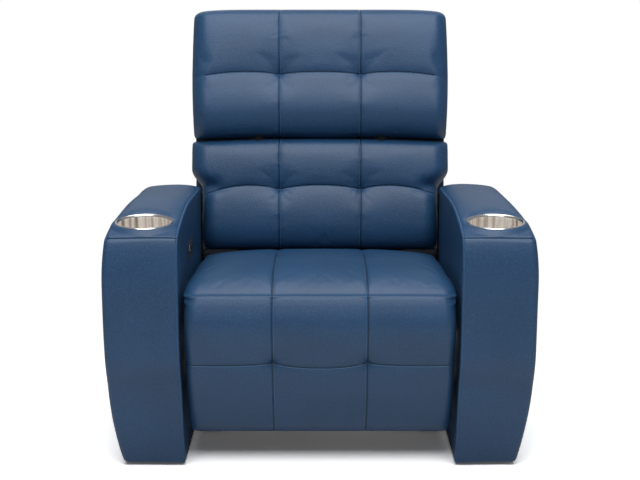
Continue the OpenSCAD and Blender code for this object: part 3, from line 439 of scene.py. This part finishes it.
def reflection_streaked_steel():
    """Deep-drawn stainless: the broad beige, brown and white bands up the wall are painted reflections in the
    base colour; the fine streaks from the drawing and the polish are in the gloss and the bump.
    """
    material, add = nodes_of("stainless_painted_reflections")
    place = add("ShaderNodeTexCoord").outputs["Object"]
    pulled = add("ShaderNodeMapping", {"Vector": place, "Scale": (1, 1, 0.04)}).outputs["Vector"]
    reflection_bands = add("ShaderNodeTexNoise", {"Vector": pulled, "Scale": 70.0, "Detail": 1.0})
    fine = add("ShaderNodeTexNoise", {"Vector": pulled, "Scale": 700.0, "Detail": 3.0, "Roughness": 0.7})
    # Painted reflection: broad bands of beige, brown and white in the base colour stand in for the
    # surroundings mirrored in the wall.
    tone = ramp(add, reflection_bands.outputs["Fac"], (0.34, (0.30, 0.24, 0.19)), (0.45, (0.72, 0.65, 0.58)),
                (0.55, (0.95, 0.93, 0.90)), (0.66, (0.60, 0.53, 0.46)))
    rough = spread(add, fine.outputs["Fac"], 0.26, 0.46)
    relief = add("ShaderNodeBump", {"Height": fine.outputs["Fac"], "Strength": 0.5, "Distance": 0.0002})
    return finished(material, add, tone, relief, rough, Metallic=0.6)


stainless = metal("rim_stainless", (0.80, 0.79, 0.77), 0.24, along=(1, 1, 10), fleck=60)
painted_reflection_steel = reflection_streaked_steel()
# Radius and height of the cup's half outline, up the inside, over the rim and down the outside
cup_steps = [(0.0, -0.0735), (0.046, -0.0735), (0.0525, -0.0705), (0.0555, -0.064), (0.0558, -0.012),
             (0.0562, -0.0045), (0.0575, -0.0008), (0.0595, 0.0006), (0.0612, 0.0002), (0.0622, -0.0014),
             (0.0618, -0.0026), (0.0600, -0.0018), (0.0574, -0.0065), (0.0573, -0.064), (0.0535, -0.0738),
             (0.047, -0.0752), (0.0, -0.0752)]
rim_depth = 0.0042


def turned(name, outline, steps, place, tilt):
    """A turned piece from its half outline, spun about an upright axis, then tilted and put in place."""
    bpy.ops.object.select_all(action="DESELECT")
    bpy.ops.mesh.primitive_plane_add(size=0.01)
    obj = bpy.context.object
    obj.name = obj.data.name = name
    mesh = bpy.data.meshes.new(name)
    mesh.from_pydata([(r, 0, z) for r, z in outline], [(i, i + 1) for i in range(len(outline) - 1)], [])
    obj.data = mesh
    bpy.ops.object.mode_set(mode="EDIT")
    bpy.ops.mesh.select_all(action="SELECT")
    bpy.ops.mesh.spin(steps=steps, angle=2 * math.pi, center=(0, 0, 0), axis=(0, 0, 1))
    bpy.ops.mesh.select_all(action="SELECT")
    bpy.ops.mesh.remove_doubles(threshold=0.00002)
    bpy.ops.mesh.normals_make_consistent(inside=False)
    bpy.ops.object.mode_set(mode="OBJECT")
    obj.matrix_world = Matrix.Identity(4)
    obj.data.transform(Matrix.Translation(place) @ Matrix.Rotation(tilt, 4, "X"))
    return obj


for side, name in ((1, "right"), (-1, "left")):
    middle = Vector((side * cup_place.x, cup_place.y, cup_place.z))
    cup = turned(name + "_cup", cup_steps, 128, middle, cup_tilt)
    only(cup)
    bpy.ops.object.shade_smooth_by_angle(angle=math.radians(40))
    cup.data.materials.append(painted_reflection_steel)
    cup.data.materials.append(stainless)
    for face in cup.data.polygons:
        rim_low = cup_place.z - rim_depth + math.tan(cup_tilt) * (face.center.y - cup_place.y)
        face.material_index = int(face.center.z > rim_low)
    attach(cup, "base")
    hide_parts(name + "_cup_holder")


# Power control. A black moulded plate let into the left arm's inner face, two bright metal push buttons and
# a small charging port below them.
def plastic(name, tint, roughness, grain):
    """Moulded plastic or baked paint: a fine texture in the bump, the tone and the gloss."""
    material, add = nodes_of(name)
    place = add("ShaderNodeTexCoord").outputs["Object"]
    fine = add("ShaderNodeTexNoise", {"Vector": place, "Scale": grain, "Detail": 3.0})
    tone = mix(add, ramp(add, fine.outputs["Fac"], (0.35, 0.0), (0.65, 1.0)),
               (*(0.8 * c for c in tint), 1), (*tint, 1))
    rough = spread(add, fine.outputs["Fac"], roughness - 0.08, roughness + 0.08)
    relief = add("ShaderNodeBump", {"Height": fine.outputs["Fac"], "Strength": 0.5, "Distance": 0.00015})
    return finished(material, add, tone, relief, rough)


moulded_black = plastic("moulded_black", (0.028, 0.028, 0.031), 0.42, 900.0)
button_steel = metal("button_steel", (0.82, 0.81, 0.79), 0.2, along=(1, 1, 10), fleck=220)
show_as(moulded_black, "control_panel")
show_as(button_steel, "open_button", "close_button", "charging_port")


# Seat cushion. Foam on webbing under one leather panel with two lengthwise sewn lines. It rises from the
# front seam to a crest, falls towards the crease and rolls over at both sides.
def soft_block(name, across, up, deep):
    """A closed block of even quads: across and up are the rows of its front, deep the rows of its depth.
    Its points come back as whole row numbers, counted from left, from below and from the front."""
    bpy.ops.object.select_all(action="DESELECT")
    bpy.ops.mesh.primitive_grid_add(x_subdivisions=across, y_subdivisions=up, size=2)
    obj = bpy.context.object
    obj.name = obj.data.name = name
    bpy.ops.object.mode_set(mode="EDIT")
    bpy.ops.mesh.select_all(action="SELECT")
    for _ in range(deep):
        bpy.ops.mesh.extrude_region_move(TRANSFORM_OT_translate={"value": (0, 0, 1)})
    bpy.ops.mesh.select_all(action="SELECT")
    bpy.ops.mesh.normals_make_consistent(inside=False)
    bpy.ops.object.mode_set(mode="OBJECT")
    co = points(obj)
    return obj, np.stack([np.rint((co[:, 0] + 1) / 2 * across), np.rint((co[:, 1] + 1) / 2 * up),
                          np.rint(deep - co[:, 2])], axis=1)


def outward(obj):
    """Turns every face outwards, whichever way the block came out of its shaping."""
    only(obj)
    bpy.ops.object.mode_set(mode="EDIT")
    bpy.ops.mesh.select_all(action="SELECT")
    bpy.ops.mesh.normals_make_consistent(inside=False)
    bpy.ops.object.mode_set(mode="OBJECT")


def rounded(flat, low, high, r_low, r_high, square=2.0):
    """Rounds a flat block's edges and corners, each side with its own radii. A higher square keeps the
    corners of the front view tighter."""
    flat, low, high = np.asarray(flat, float), np.asarray(low, float), np.asarray(high, float)
    radii = np.where(flat < (low + high) / 2, r_low, r_high)
    core = np.clip(flat, low + radii, high - radii)
    out = (flat - core) / radii
    plan = (np.abs(out[:, 0]) ** square + np.abs(out[:, 2]) ** square) ** (1 / square)
    size = np.sqrt(plan ** 2 + out[:, 1] ** 2)[:, None]
    size[size == 0] = 1
    return core + radii * out / size


def along(values, keys):
    """A smooth curve through keyed heights."""
    places, depths = zip(*keys)
    return sum(np.interp(values + shift, places, depths) for shift in np.linspace(-0.011, 0.011, 11)) / 11


def dome(share, power):
    return np.sqrt(np.clip(1 - np.abs(share) ** power, 0, None))


def swell(obj, held, pressure, grow, cap, steps=20):
    """Swells a leather skin over its foam by a cloth simulation. Points that are held stay: the board's side,
    the seams and the tufts. No point moves more than the cap."""
    before = points(obj)
    group = obj.vertex_groups.new(name="held")
    for weight in np.unique(np.round(held, 1)):
        if weight > 0:
            group.add([int(i) for i in np.nonzero(np.round(held, 1) == weight)[0]], float(weight), "REPLACE")
    cloth = obj.modifiers.new("swell", "CLOTH")
    cloth.settings.quality = 5
    cloth.settings.mass = 0.2
    cloth.settings.tension_stiffness = cloth.settings.compression_stiffness = 14
    cloth.settings.shear_stiffness = 6
    cloth.settings.bending_stiffness = 0.8
    cloth.settings.use_pressure = True
    cloth.settings.uniform_pressure_force = pressure
    cloth.settings.shrink_min = cloth.settings.shrink_max = -grow
    cloth.settings.vertex_group_mass = "held"
    cloth.settings.effector_weights.gravity = 0
    cloth.collision_settings.use_collision = False
    for step in range(1, steps + 1):
        bpy.context.scene.frame_set(step)
    only(obj)
    bpy.ops.object.modifier_apply(modifier=cloth.name)
    bpy.context.scene.frame_set(1)
    obj.vertex_groups.clear()
    moved = points(obj) - before
    size = np.linalg.norm(moved, axis=1, keepdims=True)
    size[size == 0] = 1
    place_points(obj, before + moved / size * cap * np.tanh(size / cap))


seat_half, seat_thick, seat_front, seat_back = 0.287, 0.056, -0.5295, 0.012
seam_y, seam_h = -0.515, 0.403
seat_crest, seat_drop, crest_share = 0.036, 0.048, 0.22
seat_under, nose_under, nose_back = 0.334, 0.3945, -0.41


def seat_stitch(y):
    """Half the distance between the two sewn lines, a little wider towards the rear."""
    return 0.0995 + 0.004 * ease(((y - seam_y) / (seat_back - seam_y) - 0.3) / 0.4)


def corner_back(x):
    """How far the ends of the front seam are drawn back, which rounds the corners seen from above."""
    return 0.020 * np.clip((np.abs(x) - 0.259) / 0.028, 0, 1) ** 2


seat, rows = soft_block("seat_leather", 120, 110, 14)
s, l, depth = rows[:, 0] / 60 - 1, rows[:, 1] / 110, rows[:, 2] / 14
flat = np.stack([s * seat_half, seat_thick * (depth - 0.5),
                 seat_front + (seat_back - seat_front) * l], axis=1)
co = rounded(flat, (-seat_half, -seat_thick / 2, seat_front), (seat_half, seat_thick / 2, seat_back),
             (0.012, 0.020, 0.006), (0.012, 0.020, 0.003), square=4)
x, y, up = co[:, 0], co[:, 2], 0.5 - co[:, 1] / seat_thick
s, l = x / seat_half, np.clip((y - seam_y) / (seat_back - seam_y), 0, 1)
rear = np.clip((l - crest_share) / (1 - crest_share), 0, 1)
top = np.where(l < crest_share, seam_h + seat_crest * np.sin(math.pi / 2 * (l / crest_share) ** 0.62),
               seam_h + seat_crest - seat_drop * (0.6 * ease(rear) + 0.4 * rear))
roll = 0.003 + 0.013 * ease(3 * l) + 0.016 * ease((l - 0.6) / 0.4)
roll = roll * (1 - dome(s, 6 - 3 * ease((l - 0.55) / 0.4)))
z = seam_h - roll + (top - seam_h) * (0.25 + 0.75 * dome(s, 5))
fold = np.abs(np.abs(x) - seat_stitch(y))
z -= 0.0022 * bump(fold, 0.010) * ease(l * 14)
under = np.where(y < nose_back, nose_under, seat_under)
y = y + corner_back(x) * ease((-0.42 - y) / 0.1)
place_points(seat, np.stack([x, y, under + (z - under) * up], axis=1))
outward(seat)
held = np.maximum(np.maximum((depth > 0.3).astype(float), bump(fold, 0.004) > 0.5), (l < 0.01) | (l > 0.97))
swell(seat, held, pressure=1.2, grow=0.002, cap=0.004)
finish_soft(seat)
co = points(seat)
fold = np.abs(co[:, 0]) - seat_stitch(co[:, 1])
topside = ease((co[:, 2] - 0.385) / 0.01)
co[:, 2] -= 0.0022 * bump(fold, 0.0035) * topside * ease((co[:, 1] + 0.530) / 0.02)
place_points(seat, co)
mark_seams(seat, fold + (1 - topside))
seat.data.materials.append(blue_leather)
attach(seat, "base")
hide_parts("seat_cushion")


# Footrest pad. Foam on a plywood board under leather, which runs up over the hinge and is sewn to the seat
# along the front seam. One cross seam with two tufts, and two lengthwise lines.
tuft_x = 0.1
# What is added to a distance from a seam where the seam has ended
unmarked = 0.9


def quilted(x, cross, face, sides, tuft_sink):
    """How far the skin is drawn in along the seams and at the tufts, with the puckers that run from them."""
    aside = np.abs(x) - tuft_x
    near = np.hypot(aside, cross)
    turn = np.arctan2(cross, aside)
    puckers = 0.0004 * np.sin(9 * turn + 1.4 * np.sin(2 * turn + np.sign(x))) * bump(near - 0.018, 0.012)
    sunk = 0.0028 * bump(cross, 0.011) + 0.0013 * bump(aside, 0.009)
    upper = 0.5 + 0.5 * ease((cross + 0.012) / 0.024)
    hollow = tuft_sink * (0.66 * upper * bump(near, 0.027) + 0.26 * bump(near, 0.010))
    return (sunk * sides + hollow + puckers) * face


def sewn_close(x, cross, face):
    """The narrow valley right at a sewn line."""
    aside = np.abs(x) - tuft_x
    return (np.maximum(0.0012 * bump(aside, 0.0028), 0.0018 * bump(cross, 0.0030))
            + 0.0030 * bump(np.hypot(aside, cross), 0.006)) * face


def seam_hold(x, cross, face):
    """How firmly the thread holds each point while the leather swells."""
    aside = np.abs(x) - tuft_x
    line = np.maximum(bump(aside, 0.0045), bump(cross, 0.0045)) > 0.5
    return np.where(np.hypot(aside, cross) < 0.010, 1.0, 0.2 * line) * face


def seam_arc(x, middle, peak, end, peak_x=0.187, end_x=0.277):
    """Height of a cross seam over its tufts: arched between them and beside them, with a small v at each."""
    aside = np.abs(x)
    side = (peak * (aside - tuft_x) * (aside - end_x) / ((peak_x - tuft_x) * (peak_x - end_x))
            + end * (aside - tuft_x) * (aside - peak_x) / ((end_x - tuft_x) * (end_x - peak_x)))
    return np.where(aside < tuft_x, middle * (1 - (x / tuft_x) ** 2), side)


def seam_rows(z, seam, arc):
    """Bends the level rows near a cross seam so that one of them follows it."""
    return z + (arc - seam) * bump(z - seam, 0.05)


foot_half, foot_thick, foot_low, foot_top = 0.288, 0.06, 0.066, 0.403
pad_top, foot_tuck, foot_tuft = 0.3825, 0.095, 0.253
foot_arc = (-0.010, -0.004, -0.003)
hinge_y, tail_back, tail_top = -0.5306, -0.441, 0.4015
# Height, and how far the front lies behind the front seam, as a share of foot_tuck
tuck_keys = ((0.066, 1), (0.078, 0.84), (0.091, 0.695), (0.108, 0.56), (0.129, 0.44), (0.152, 0.32),
             (0.177, 0.21), (0.200, 0.110), (0.224, 0.015), (0.240, -0.05), (0.262, -0.13), (0.285, -0.22),
             (0.303, -0.285), (0.318, -0.325), (0.333, -0.345), (0.345, -0.347), (0.355, -0.332),
             (0.365, -0.306), (0.375, -0.271), (0.383, -0.241), (0.390, -0.214), (0.397, -0.183),
             (0.403, -0.120))
foot, rows = soft_block("footrest_leather", 120, 72, 16)
s, h, depth = rows[:, 0] / 60 - 1, rows[:, 1] / 72, rows[:, 2] / 16
flat = np.stack([s * foot_half, foot_thick * (depth - 1), foot_low + (foot_top - foot_low) * h], axis=1)
co = rounded(flat, (-foot_half, -foot_thick, foot_low), (foot_half, 0, foot_top), (0.026, 0.026, 0.022),
             (0.026, 0.010, 0.003), square=3.5)
x, z = co[:, 0], co[:, 2]
s = x / foot_half
arc = foot_tuft + seam_arc(x, *foot_arc)
z = seam_rows(z, foot_tuft, arc)
cross = z - arc
front = np.clip(-co[:, 1] / foot_thick, 0, 1)
close = np.clip((foot_top - z) / 0.012, 0, 1)
face = seam_y + foot_tuck * (along(z, tuck_keys) * close + np.interp(z, *zip(*tuck_keys)) * (1 - close))
face += quilted(x, cross, 1, dome(s, 8), 0.012)
board = np.where(z > pad_top, hinge_y, -0.429 + 0.040 * (pad_top - z) / (pad_top - 0.09)) - 0.001
y = board + (face - board) * front
# The tail that runs up behind the front seam, and the pad's top behind it
top_side = (h == 1) & (depth > 0)
back_row = np.where(depth < 0.4, hinge_y, hinge_y + (tail_back - hinge_y) * (depth - 0.4) / 0.6)
y = np.where(top_side, back_row, y)
z = np.where(top_side, np.where(depth < 0.4, tail_top - (tail_top - pad_top) * depth / 0.4, pad_top), z)
inside = (rows[:, 2] == 16) & (z > pad_top - 0.004)
z = np.where(inside, np.minimum(z, pad_top), z)
y = np.where(inside, tail_back, y)
y = y + corner_back(x) * ease((z - 0.379) / 0.008)
x = x * (1 - 0.012 * (2 * (z - foot_low) / (pad_top - foot_low) - 1) ** 6)
place_points(foot, np.stack([x, y, z], axis=1))
outward(foot)
held = np.maximum((depth > 0.3) | (z > 0.375) | (z < 0.072), seam_hold(x, cross, depth < 0.2)).astype(float)
swell(foot, held, pressure=1.6, grow=0.004, cap=0.006)
finish_soft(foot)
co = points(foot)
s = co[:, 0] / foot_half
cross = co[:, 2] - foot_tuft - seam_arc(co[:, 0], *foot_arc)
co[:, 1] += sewn_close(co[:, 0], cross, dome(s, 8))
place_points(foot, co)
mark_seams(foot, np.abs(co[:, 0]) - tuft_x, cross + unmarked * ease((np.abs(co[:, 0]) - 0.274) / 0.01))
foot.data.materials.append(blue_leather)
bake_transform(foot)
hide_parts("footrest_pad")


# Lumbar cushion. The lower pad of the back, sewn in six panels with two tufts. Its upper part widens into
# ears that stand over the arms, and its lower edge sinks into the crease.
lean = Matrix.Translation((0, 0.033, 0.390)) @ Matrix.Rotation(math.radians(-12.5), 4, "X")


def leaned(obj):
    """Turns a piece drawn in the back's upright plane into the back's rest pose."""
    obj.data.transform(lean)
    obj.data.update()


def sew_panels(obj, half, tuft, arc, seam_end):
    """Draws the valleys of the sewn lines into a swelled back cushion and marks them, on its front alone."""
    co = points(obj)
    cross = co[:, 2] - tuft - seam_arc(co[:, 0], *arc)
    facing = ease((0.02 - co[:, 1]) / 0.02)
    co[:, 1] += sewn_close(co[:, 0], cross, facing * dome(np.clip(co[:, 0] / half * 1.05, -1, 1), 8))
    place_points(obj, co)
    mark_seams(obj, np.abs(co[:, 0]) - tuft_x + unmarked * (1 - facing),
               cross + unmarked * (1 - facing) + unmarked * ease((np.abs(co[:, 0]) - seam_end) / 0.01))


lumbar_half, lumbar_low, lumbar_high, lumbar_tuft = 0.316, -0.012, 0.2635, 0.142
lumbar_waist, lumbar_ears, lumbar_arc = 0.2925, 0.3190, (0.0095, 0.008, -0.011)
lumbar_face, lumbar_back = -0.040, 0.075
# Height, and how far the front stands before the back's plane
lumbar_belly = ((-0.012, -0.004), (-0.004, 0.010), (0.006, 0.022), (0.02, 0.034), (0.045, 0.043),
                (0.085, 0.046), (0.12, 0.043), (0.142, 0.040), (0.17, 0.041), (0.200, 0.042), (0.225, 0.040),
                (0.240, 0.037), (0.250, 0.033), (0.257, 0.026), (0.2625, 0.012))
lumbar, rows = soft_block("lumbar_leather", 128, 60, 18)
s, depth = rows[:, 0] / 64 - 1, rows[:, 2] / 18
flat = np.stack([s * lumbar_half, lumbar_face + (lumbar_back - lumbar_face) * depth,
                 lumbar_low + (lumbar_high - lumbar_low) * rows[:, 1] / 60], axis=1)
co = rounded(flat, (-lumbar_half, lumbar_face, lumbar_low), (lumbar_half, lumbar_back, lumbar_high),
             (0.042, 0.050, 0.010), (0.042, 0.004, 0.014), square=6)
up, s = co[:, 2], co[:, 0] / lumbar_half
x = s * (lumbar_waist + (lumbar_ears - lumbar_waist) * ease((up - 0.158) / 0.042))
arc = lumbar_tuft + seam_arc(x, *lumbar_arc)
up = seam_rows(up, lumbar_tuft, arc)
cross = up - arc
rolled = up
front = ease((0.045 - co[:, 1]) / 0.08)
y = co[:, 1] - (lumbar_face + along(up, lumbar_belly)) * front
y += quilted(x, cross, front, dome(s, 6), 0.013)
# A pinch where each ear leaves the lower part
y += 0.012 * bump(np.hypot(np.abs(x) - 0.268, (up - 0.150) * 1.4), 0.022) * front
up = up + 0.009 * ease((up - 0.225) / 0.03) * (1 - s * s)
place_points(lumbar, np.stack([x, y, up], axis=1))
outward(lumbar)
held = np.maximum((depth > 0.45) | (rolled > 0.258) | (up < -0.006),
                  seam_hold(x, cross, depth < 0.2)).astype(float)
swell(lumbar, held, pressure=1.0, grow=0.0015, cap=0.005)
finish_soft(lumbar)
sew_panels(lumbar, lumbar_half, lumbar_tuft, lumbar_arc, 0.276)
leaned(lumbar)
lumbar.data.materials.append(blue_leather)
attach(lumbar, "back")
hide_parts("lumbar_cushion")


# Side linings. Black stretch cloth that closes the gap between each arm's rear end and the back, sewn to
# the frame below and to the back above. Its near-black is painted shade for the dark gap.
def lining_cloth():
    """Black knitted lining: fine loops in the bump, nearly no gloss; its near-black tone is painted shade."""
    material, add = nodes_of("painted_shade_lining")
    place = add("ShaderNodeTexCoord").outputs["Object"]
    loops = add("ShaderNodeTexVoronoi", {"Vector": place, "Scale": 900.0}).outputs["Distance"]
    cloud = add("ShaderNodeTexNoise", {"Vector": place, "Scale": 30.0, "Detail": 3.0})
    tone = ramp(add, cloud.outputs["Fac"], (0.35, (0.004, 0.005, 0.007)), (0.65, (0.008, 0.009, 0.012)))
    relief = add("ShaderNodeBump", {"Height": loops, "Strength": 0.6, "Distance": 0.0003})
    rough = spread(add, cloud.outputs["Fac"], 0.85, 0.95)
    return finished(material, add, tone, relief, rough, Specular_IOR_Level=0.2)


shade_black_lining = lining_cloth()
for side, name in ((1, "right"), (-1, "left")):
    lining, rows = soft_block(name + "_side_lining", 8, 40, 6)
    low = np.array((0.281, 0.028, -0.080))
    high = np.array((0.3115, 0.066, 0.136))
    flat = low + (high - low) * np.stack([rows[:, 0] / 8, rows[:, 2] / 6, rows[:, 1] / 40], axis=1)
    co = rounded(flat, low, high, (0.008, 0.008, 0.010), (0.008, 0.008, 0.010))
    co[:, 1] += 0.002 * np.sin(co[:, 2] * 160)
    co[:, 0] *= side
    place_points(lining, co)
    outward(lining)
    finish_soft(lining)
    leaned(lining)
    # Painted shade: the near-black cloth stands in for the shade between the arm's rear end and the back.
    lining.data.materials.append(shade_black_lining)
    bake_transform(lining)

# Crease fold. The same black stretch cloth joins the seat's rear edge to the foot of the back; its black is
# painted shade for the crease.
low, high = np.array((-0.289, 0.004, 0.3495)), np.array((0.289, 0.050, 0.3855))
crease, rows = soft_block("crease_fold", 80, 8, 10)
flat = low + (high - low) * np.stack([rows[:, 0] / 80, rows[:, 2] / 10, rows[:, 1] / 8], axis=1)
co = rounded(flat, low, high, (0.01, 0.010, 0.006), (0.01, 0.010, 0.006))
co[:, 2] -= 0.012 * (1 - ease((np.abs(co[:, 0]) - 0.15) / 0.07)) * (co[:, 2] > 0.363)
place_points(crease, co)
outward(crease)
finish_soft(crease, 0)
# Painted shade: the near-black cloth stands in for the shade in the crease.
crease.data.materials.append(shade_black_lining)
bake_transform(crease)

# Head cushion. The same pattern on the tilting headrest, fuller, with a lower roll that hangs over the
# lumbar pad.
head_half, head_low, head_top, head_tuft = 0.3175, 0.265, 0.584, 0.4245
head_face, head_back, head_arc = -0.042, 0.060, (0.0053, 0.005, -0.003)
head_belly = ((0.263, 0.006), (0.268, 0.016), (0.274, 0.026), (0.284, 0.035), (0.299, 0.0445), (0.32, 0.052),
              (0.345, 0.0555), (0.37, 0.054), (0.395, 0.050), (0.4245, 0.047), (0.45, 0.046), (0.49, 0.047),
              (0.53, 0.046), (0.56, 0.042), (0.575, 0.035), (0.584, 0.024))


def head_share(up):
    """From -1 at the headrest's foot to 1 at its top."""
    return 2 * (up - 0.267) / 0.315 - 1


head, rows = soft_block("head_leather", 128, 68, 18)
s, depth = rows[:, 0] / 64 - 1, rows[:, 2] / 18
flat = np.stack([s * head_half, head_face + (head_back - head_face) * depth,
                 head_low + (head_top - head_low) * rows[:, 1] / 68], axis=1)
# The lower corners of the front view are tighter than the upper ones
square = np.where(rows[:, 1] > 34, 3.2, 6.0)
co = rounded(flat, (-head_half, head_face, head_low), (head_half, head_back, head_top), (0.040, 0.050, 0.010),
             (0.034, 0.004, 0.019), square=square)
up, s = co[:, 2], co[:, 0] / head_half
t = head_share(up)
x = co[:, 0] * (1 - 0.012 * t * t)
up = up + 0.012 * ease((0.280 - up) / 0.012) * ease((depth - 0.25) / 0.3)
up = up + 0.008 * ease((0.30 - up) / 0.04) * (1 - (x / head_half) ** 2) * ease((0.3 - depth) / 0.1)
arc = head_tuft + seam_arc(x, *head_arc)
up = seam_rows(up, head_tuft, arc)
cross = up - arc
front = ease((0.040 - co[:, 1]) / 0.075)
y = co[:, 1] - (head_face + along(up, head_belly)) * front
y += quilted(x, cross, front, dome(s, 6), 0.013)
up = up + 0.009 * ease((t - 0.75) / 0.25) * (1 - (x / head_half) ** 8) * ease((0.055 - y) / 0.03)
place_points(head, np.stack([x, y, up], axis=1))
outward(head)
held = np.maximum((depth > 0.5) | (up < 0.272) | (rows[:, 1] > 66),
                  seam_hold(x, cross, depth < 0.2)).astype(float)
swell(head, held, pressure=1.0, grow=0.001, cap=0.005)
finish_soft(head)
sew_panels(head, head_half, head_tuft, head_arc, 0.283)
leaned(head)
head.data.materials.append(blue_leather)
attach(head, "headrest")
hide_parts("headrest_cushion")

# Neck fold. Black stretch cloth behind the gap between the head and the lumbar cushions, drawn over the
# headrest arms. Its black is painted shade for the gap.
low, high = np.array((-0.309, -0.006, 0.256)), np.array((0.309, 0.058, 0.286))
headrest_arm_x = 0.1525
neck, rows = soft_block("neck_fold", 90, 12, 6)
flat = low + (high - low) * np.stack([rows[:, 0] / 90, rows[:, 2] / 6, rows[:, 1] / 12], axis=1)
co = rounded(flat, low, high, (0.02, 0.012, 0.006), (0.02, 0.008, 0.006))
co[:, 1] += 0.006 * bump(co[:, 2] - 0.266, 0.006) * (co[:, 1] < 0)
co[:, 1] -= 0.018 * bump(np.abs(co[:, 0]) - headrest_arm_x, 0.014) * ease((0.03 - co[:, 1]) / 0.03)
place_points(neck, co)
outward(neck)
finish_soft(neck, 0)
leaned(neck)
# Painted shade: the near-black cloth stands in for the shade between the head and lumbar cushions.
neck.data.materials.append(shade_black_lining)
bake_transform(neck)


# Rear covers. Darker leather pulled over the boards of the back and of the headrest, with thin padding.
def rear_cover(name, across, up, low, high, y_in, y_out, half_at):
    """A padded panel between two heights, flat at y_in and arched at y_out; half_at is half its width."""
    half = 0.3
    obj, rows = soft_block(name, across, up, 6)
    s, t, depth = 2 * rows[:, 0] / across - 1, 2 * rows[:, 1] / up - 1, rows[:, 2] / 6
    flat = np.stack([s * half, y_out + (y_in - y_out) * depth, low + (high - low) * (t + 1) / 2], axis=1)
    co = rounded(flat, (-half, y_in, low), (half, y_out, high), (0.018, 0.002, 0.014), (0.018, 0.018, 0.014))
    s, t = co[:, 0] / half, 2 * (co[:, 2] - low) / (high - low) - 1
    co[:, 0] = s * half_at(co[:, 2])
    out = np.clip((co[:, 1] - y_in) / (y_out - y_in), 0, 1)
    co[:, 1] += (0.004 * (1 - s * s) * (1 - t * t) - 0.0015) * out
    place_points(obj, co)
    outward(obj)
    mark_seams(obj, None)
    finish_soft(obj, 0)
    leaned(obj)
    obj.data.materials.append(rear_leather)
    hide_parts(name.replace("_leather", "_cover"))
    return obj


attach(rear_cover("back_leather", 90, 42, -0.012, 0.262, 0.0753, 0.1175,
                   lambda z: 0.3152 - 0.004 * ease((0.03 - z) / 0.04)), "back")
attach(rear_cover("headrest_leather", 90, 46, 0.279, 0.582, 0.0603, 0.0955,
                   lambda z: 0.3142 * (1 - 0.012 * head_share(z) ** 2)), "headrest")


# Frame. Birch plywood rails and boards, black powder-coated steel, zinc-plated pins and bolts, nylon bushes
# and glides, and black elastic webbing.
def plywood():
    """Birch plywood: a grain drawn out across the seat in the tone, the gloss and the bump."""
    material, add = nodes_of("birch_plywood")
    place = add("ShaderNodeTexCoord").outputs["Object"]
    pulled = add("ShaderNodeMapping", {"Vector": place, "Scale": (0.12, 1, 1)}).outputs["Vector"]
    grain = add("ShaderNodeTexNoise", {"Vector": pulled, "Scale": 90.0, "Detail": 5.0, "Roughness": 0.6,
                                       "Distortion": 0.4})
    tone = ramp(add, grain.outputs["Fac"], (0.3, (0.42, 0.27, 0.14)), (0.52, (0.56, 0.40, 0.24)),
                (0.75, (0.66, 0.50, 0.32)))
    rough = spread(add, grain.outputs["Fac"], 0.55, 0.72)
    relief = add("ShaderNodeBump", {"Height": grain.outputs["Fac"], "Strength": 0.35, "Distance": 0.0003})
    return finished(material, add, tone, relief, rough)


def webbing():
    """Black elastic webbing: a ribbed weave in the tone and the bump."""
    material, add = nodes_of("black_webbing")
    place = add("ShaderNodeTexCoord").outputs["Object"]
    weave = add("ShaderNodeTexWave", {"Vector": place, "Scale": 120.0, "Distortion": 0.6},
                bands_direction="X")
    fine = add("ShaderNodeTexNoise", {"Vector": place, "Scale": 700.0, "Detail": 2.0})
    both = add("ShaderNodeMath", {0: weave.outputs["Fac"], 1: fine.outputs["Fac"]}, operation="ADD")
    tone = ramp(add, weave.outputs["Fac"], (0.0, (0.012, 0.012, 0.013)), (1.0, (0.05, 0.05, 0.052)))
    relief = add("ShaderNodeBump", {"Height": both.outputs[0], "Strength": 0.6, "Distance": 0.0005})
    return finished(material, add, tone, relief, 0.8)


painted = plastic("black_powder_coat", (0.035, 0.035, 0.038), 0.5, 420.0)
zinc = metal("zinc_plated", (0.60, 0.60, 0.58), 0.34, fleck=120)
finishes = {"plywood": plywood(), "webbing": webbing(), "painted_steel": painted, "zinc_steel": zinc,
            "nylon": plastic("black_nylon", (0.04, 0.04, 0.042), 0.55, 600.0), "black_plastic": moulded_black,
            "brushed_steel": button_steel, "leather": blue_leather, "rear_leather": rear_leather}
for part in frame["record"]["subparts"]:
    if part["node"] not in ("control_panel", "open_button", "close_button", "charging_port"):
        show_as(finishes[part["material_slot"]], part["node"])
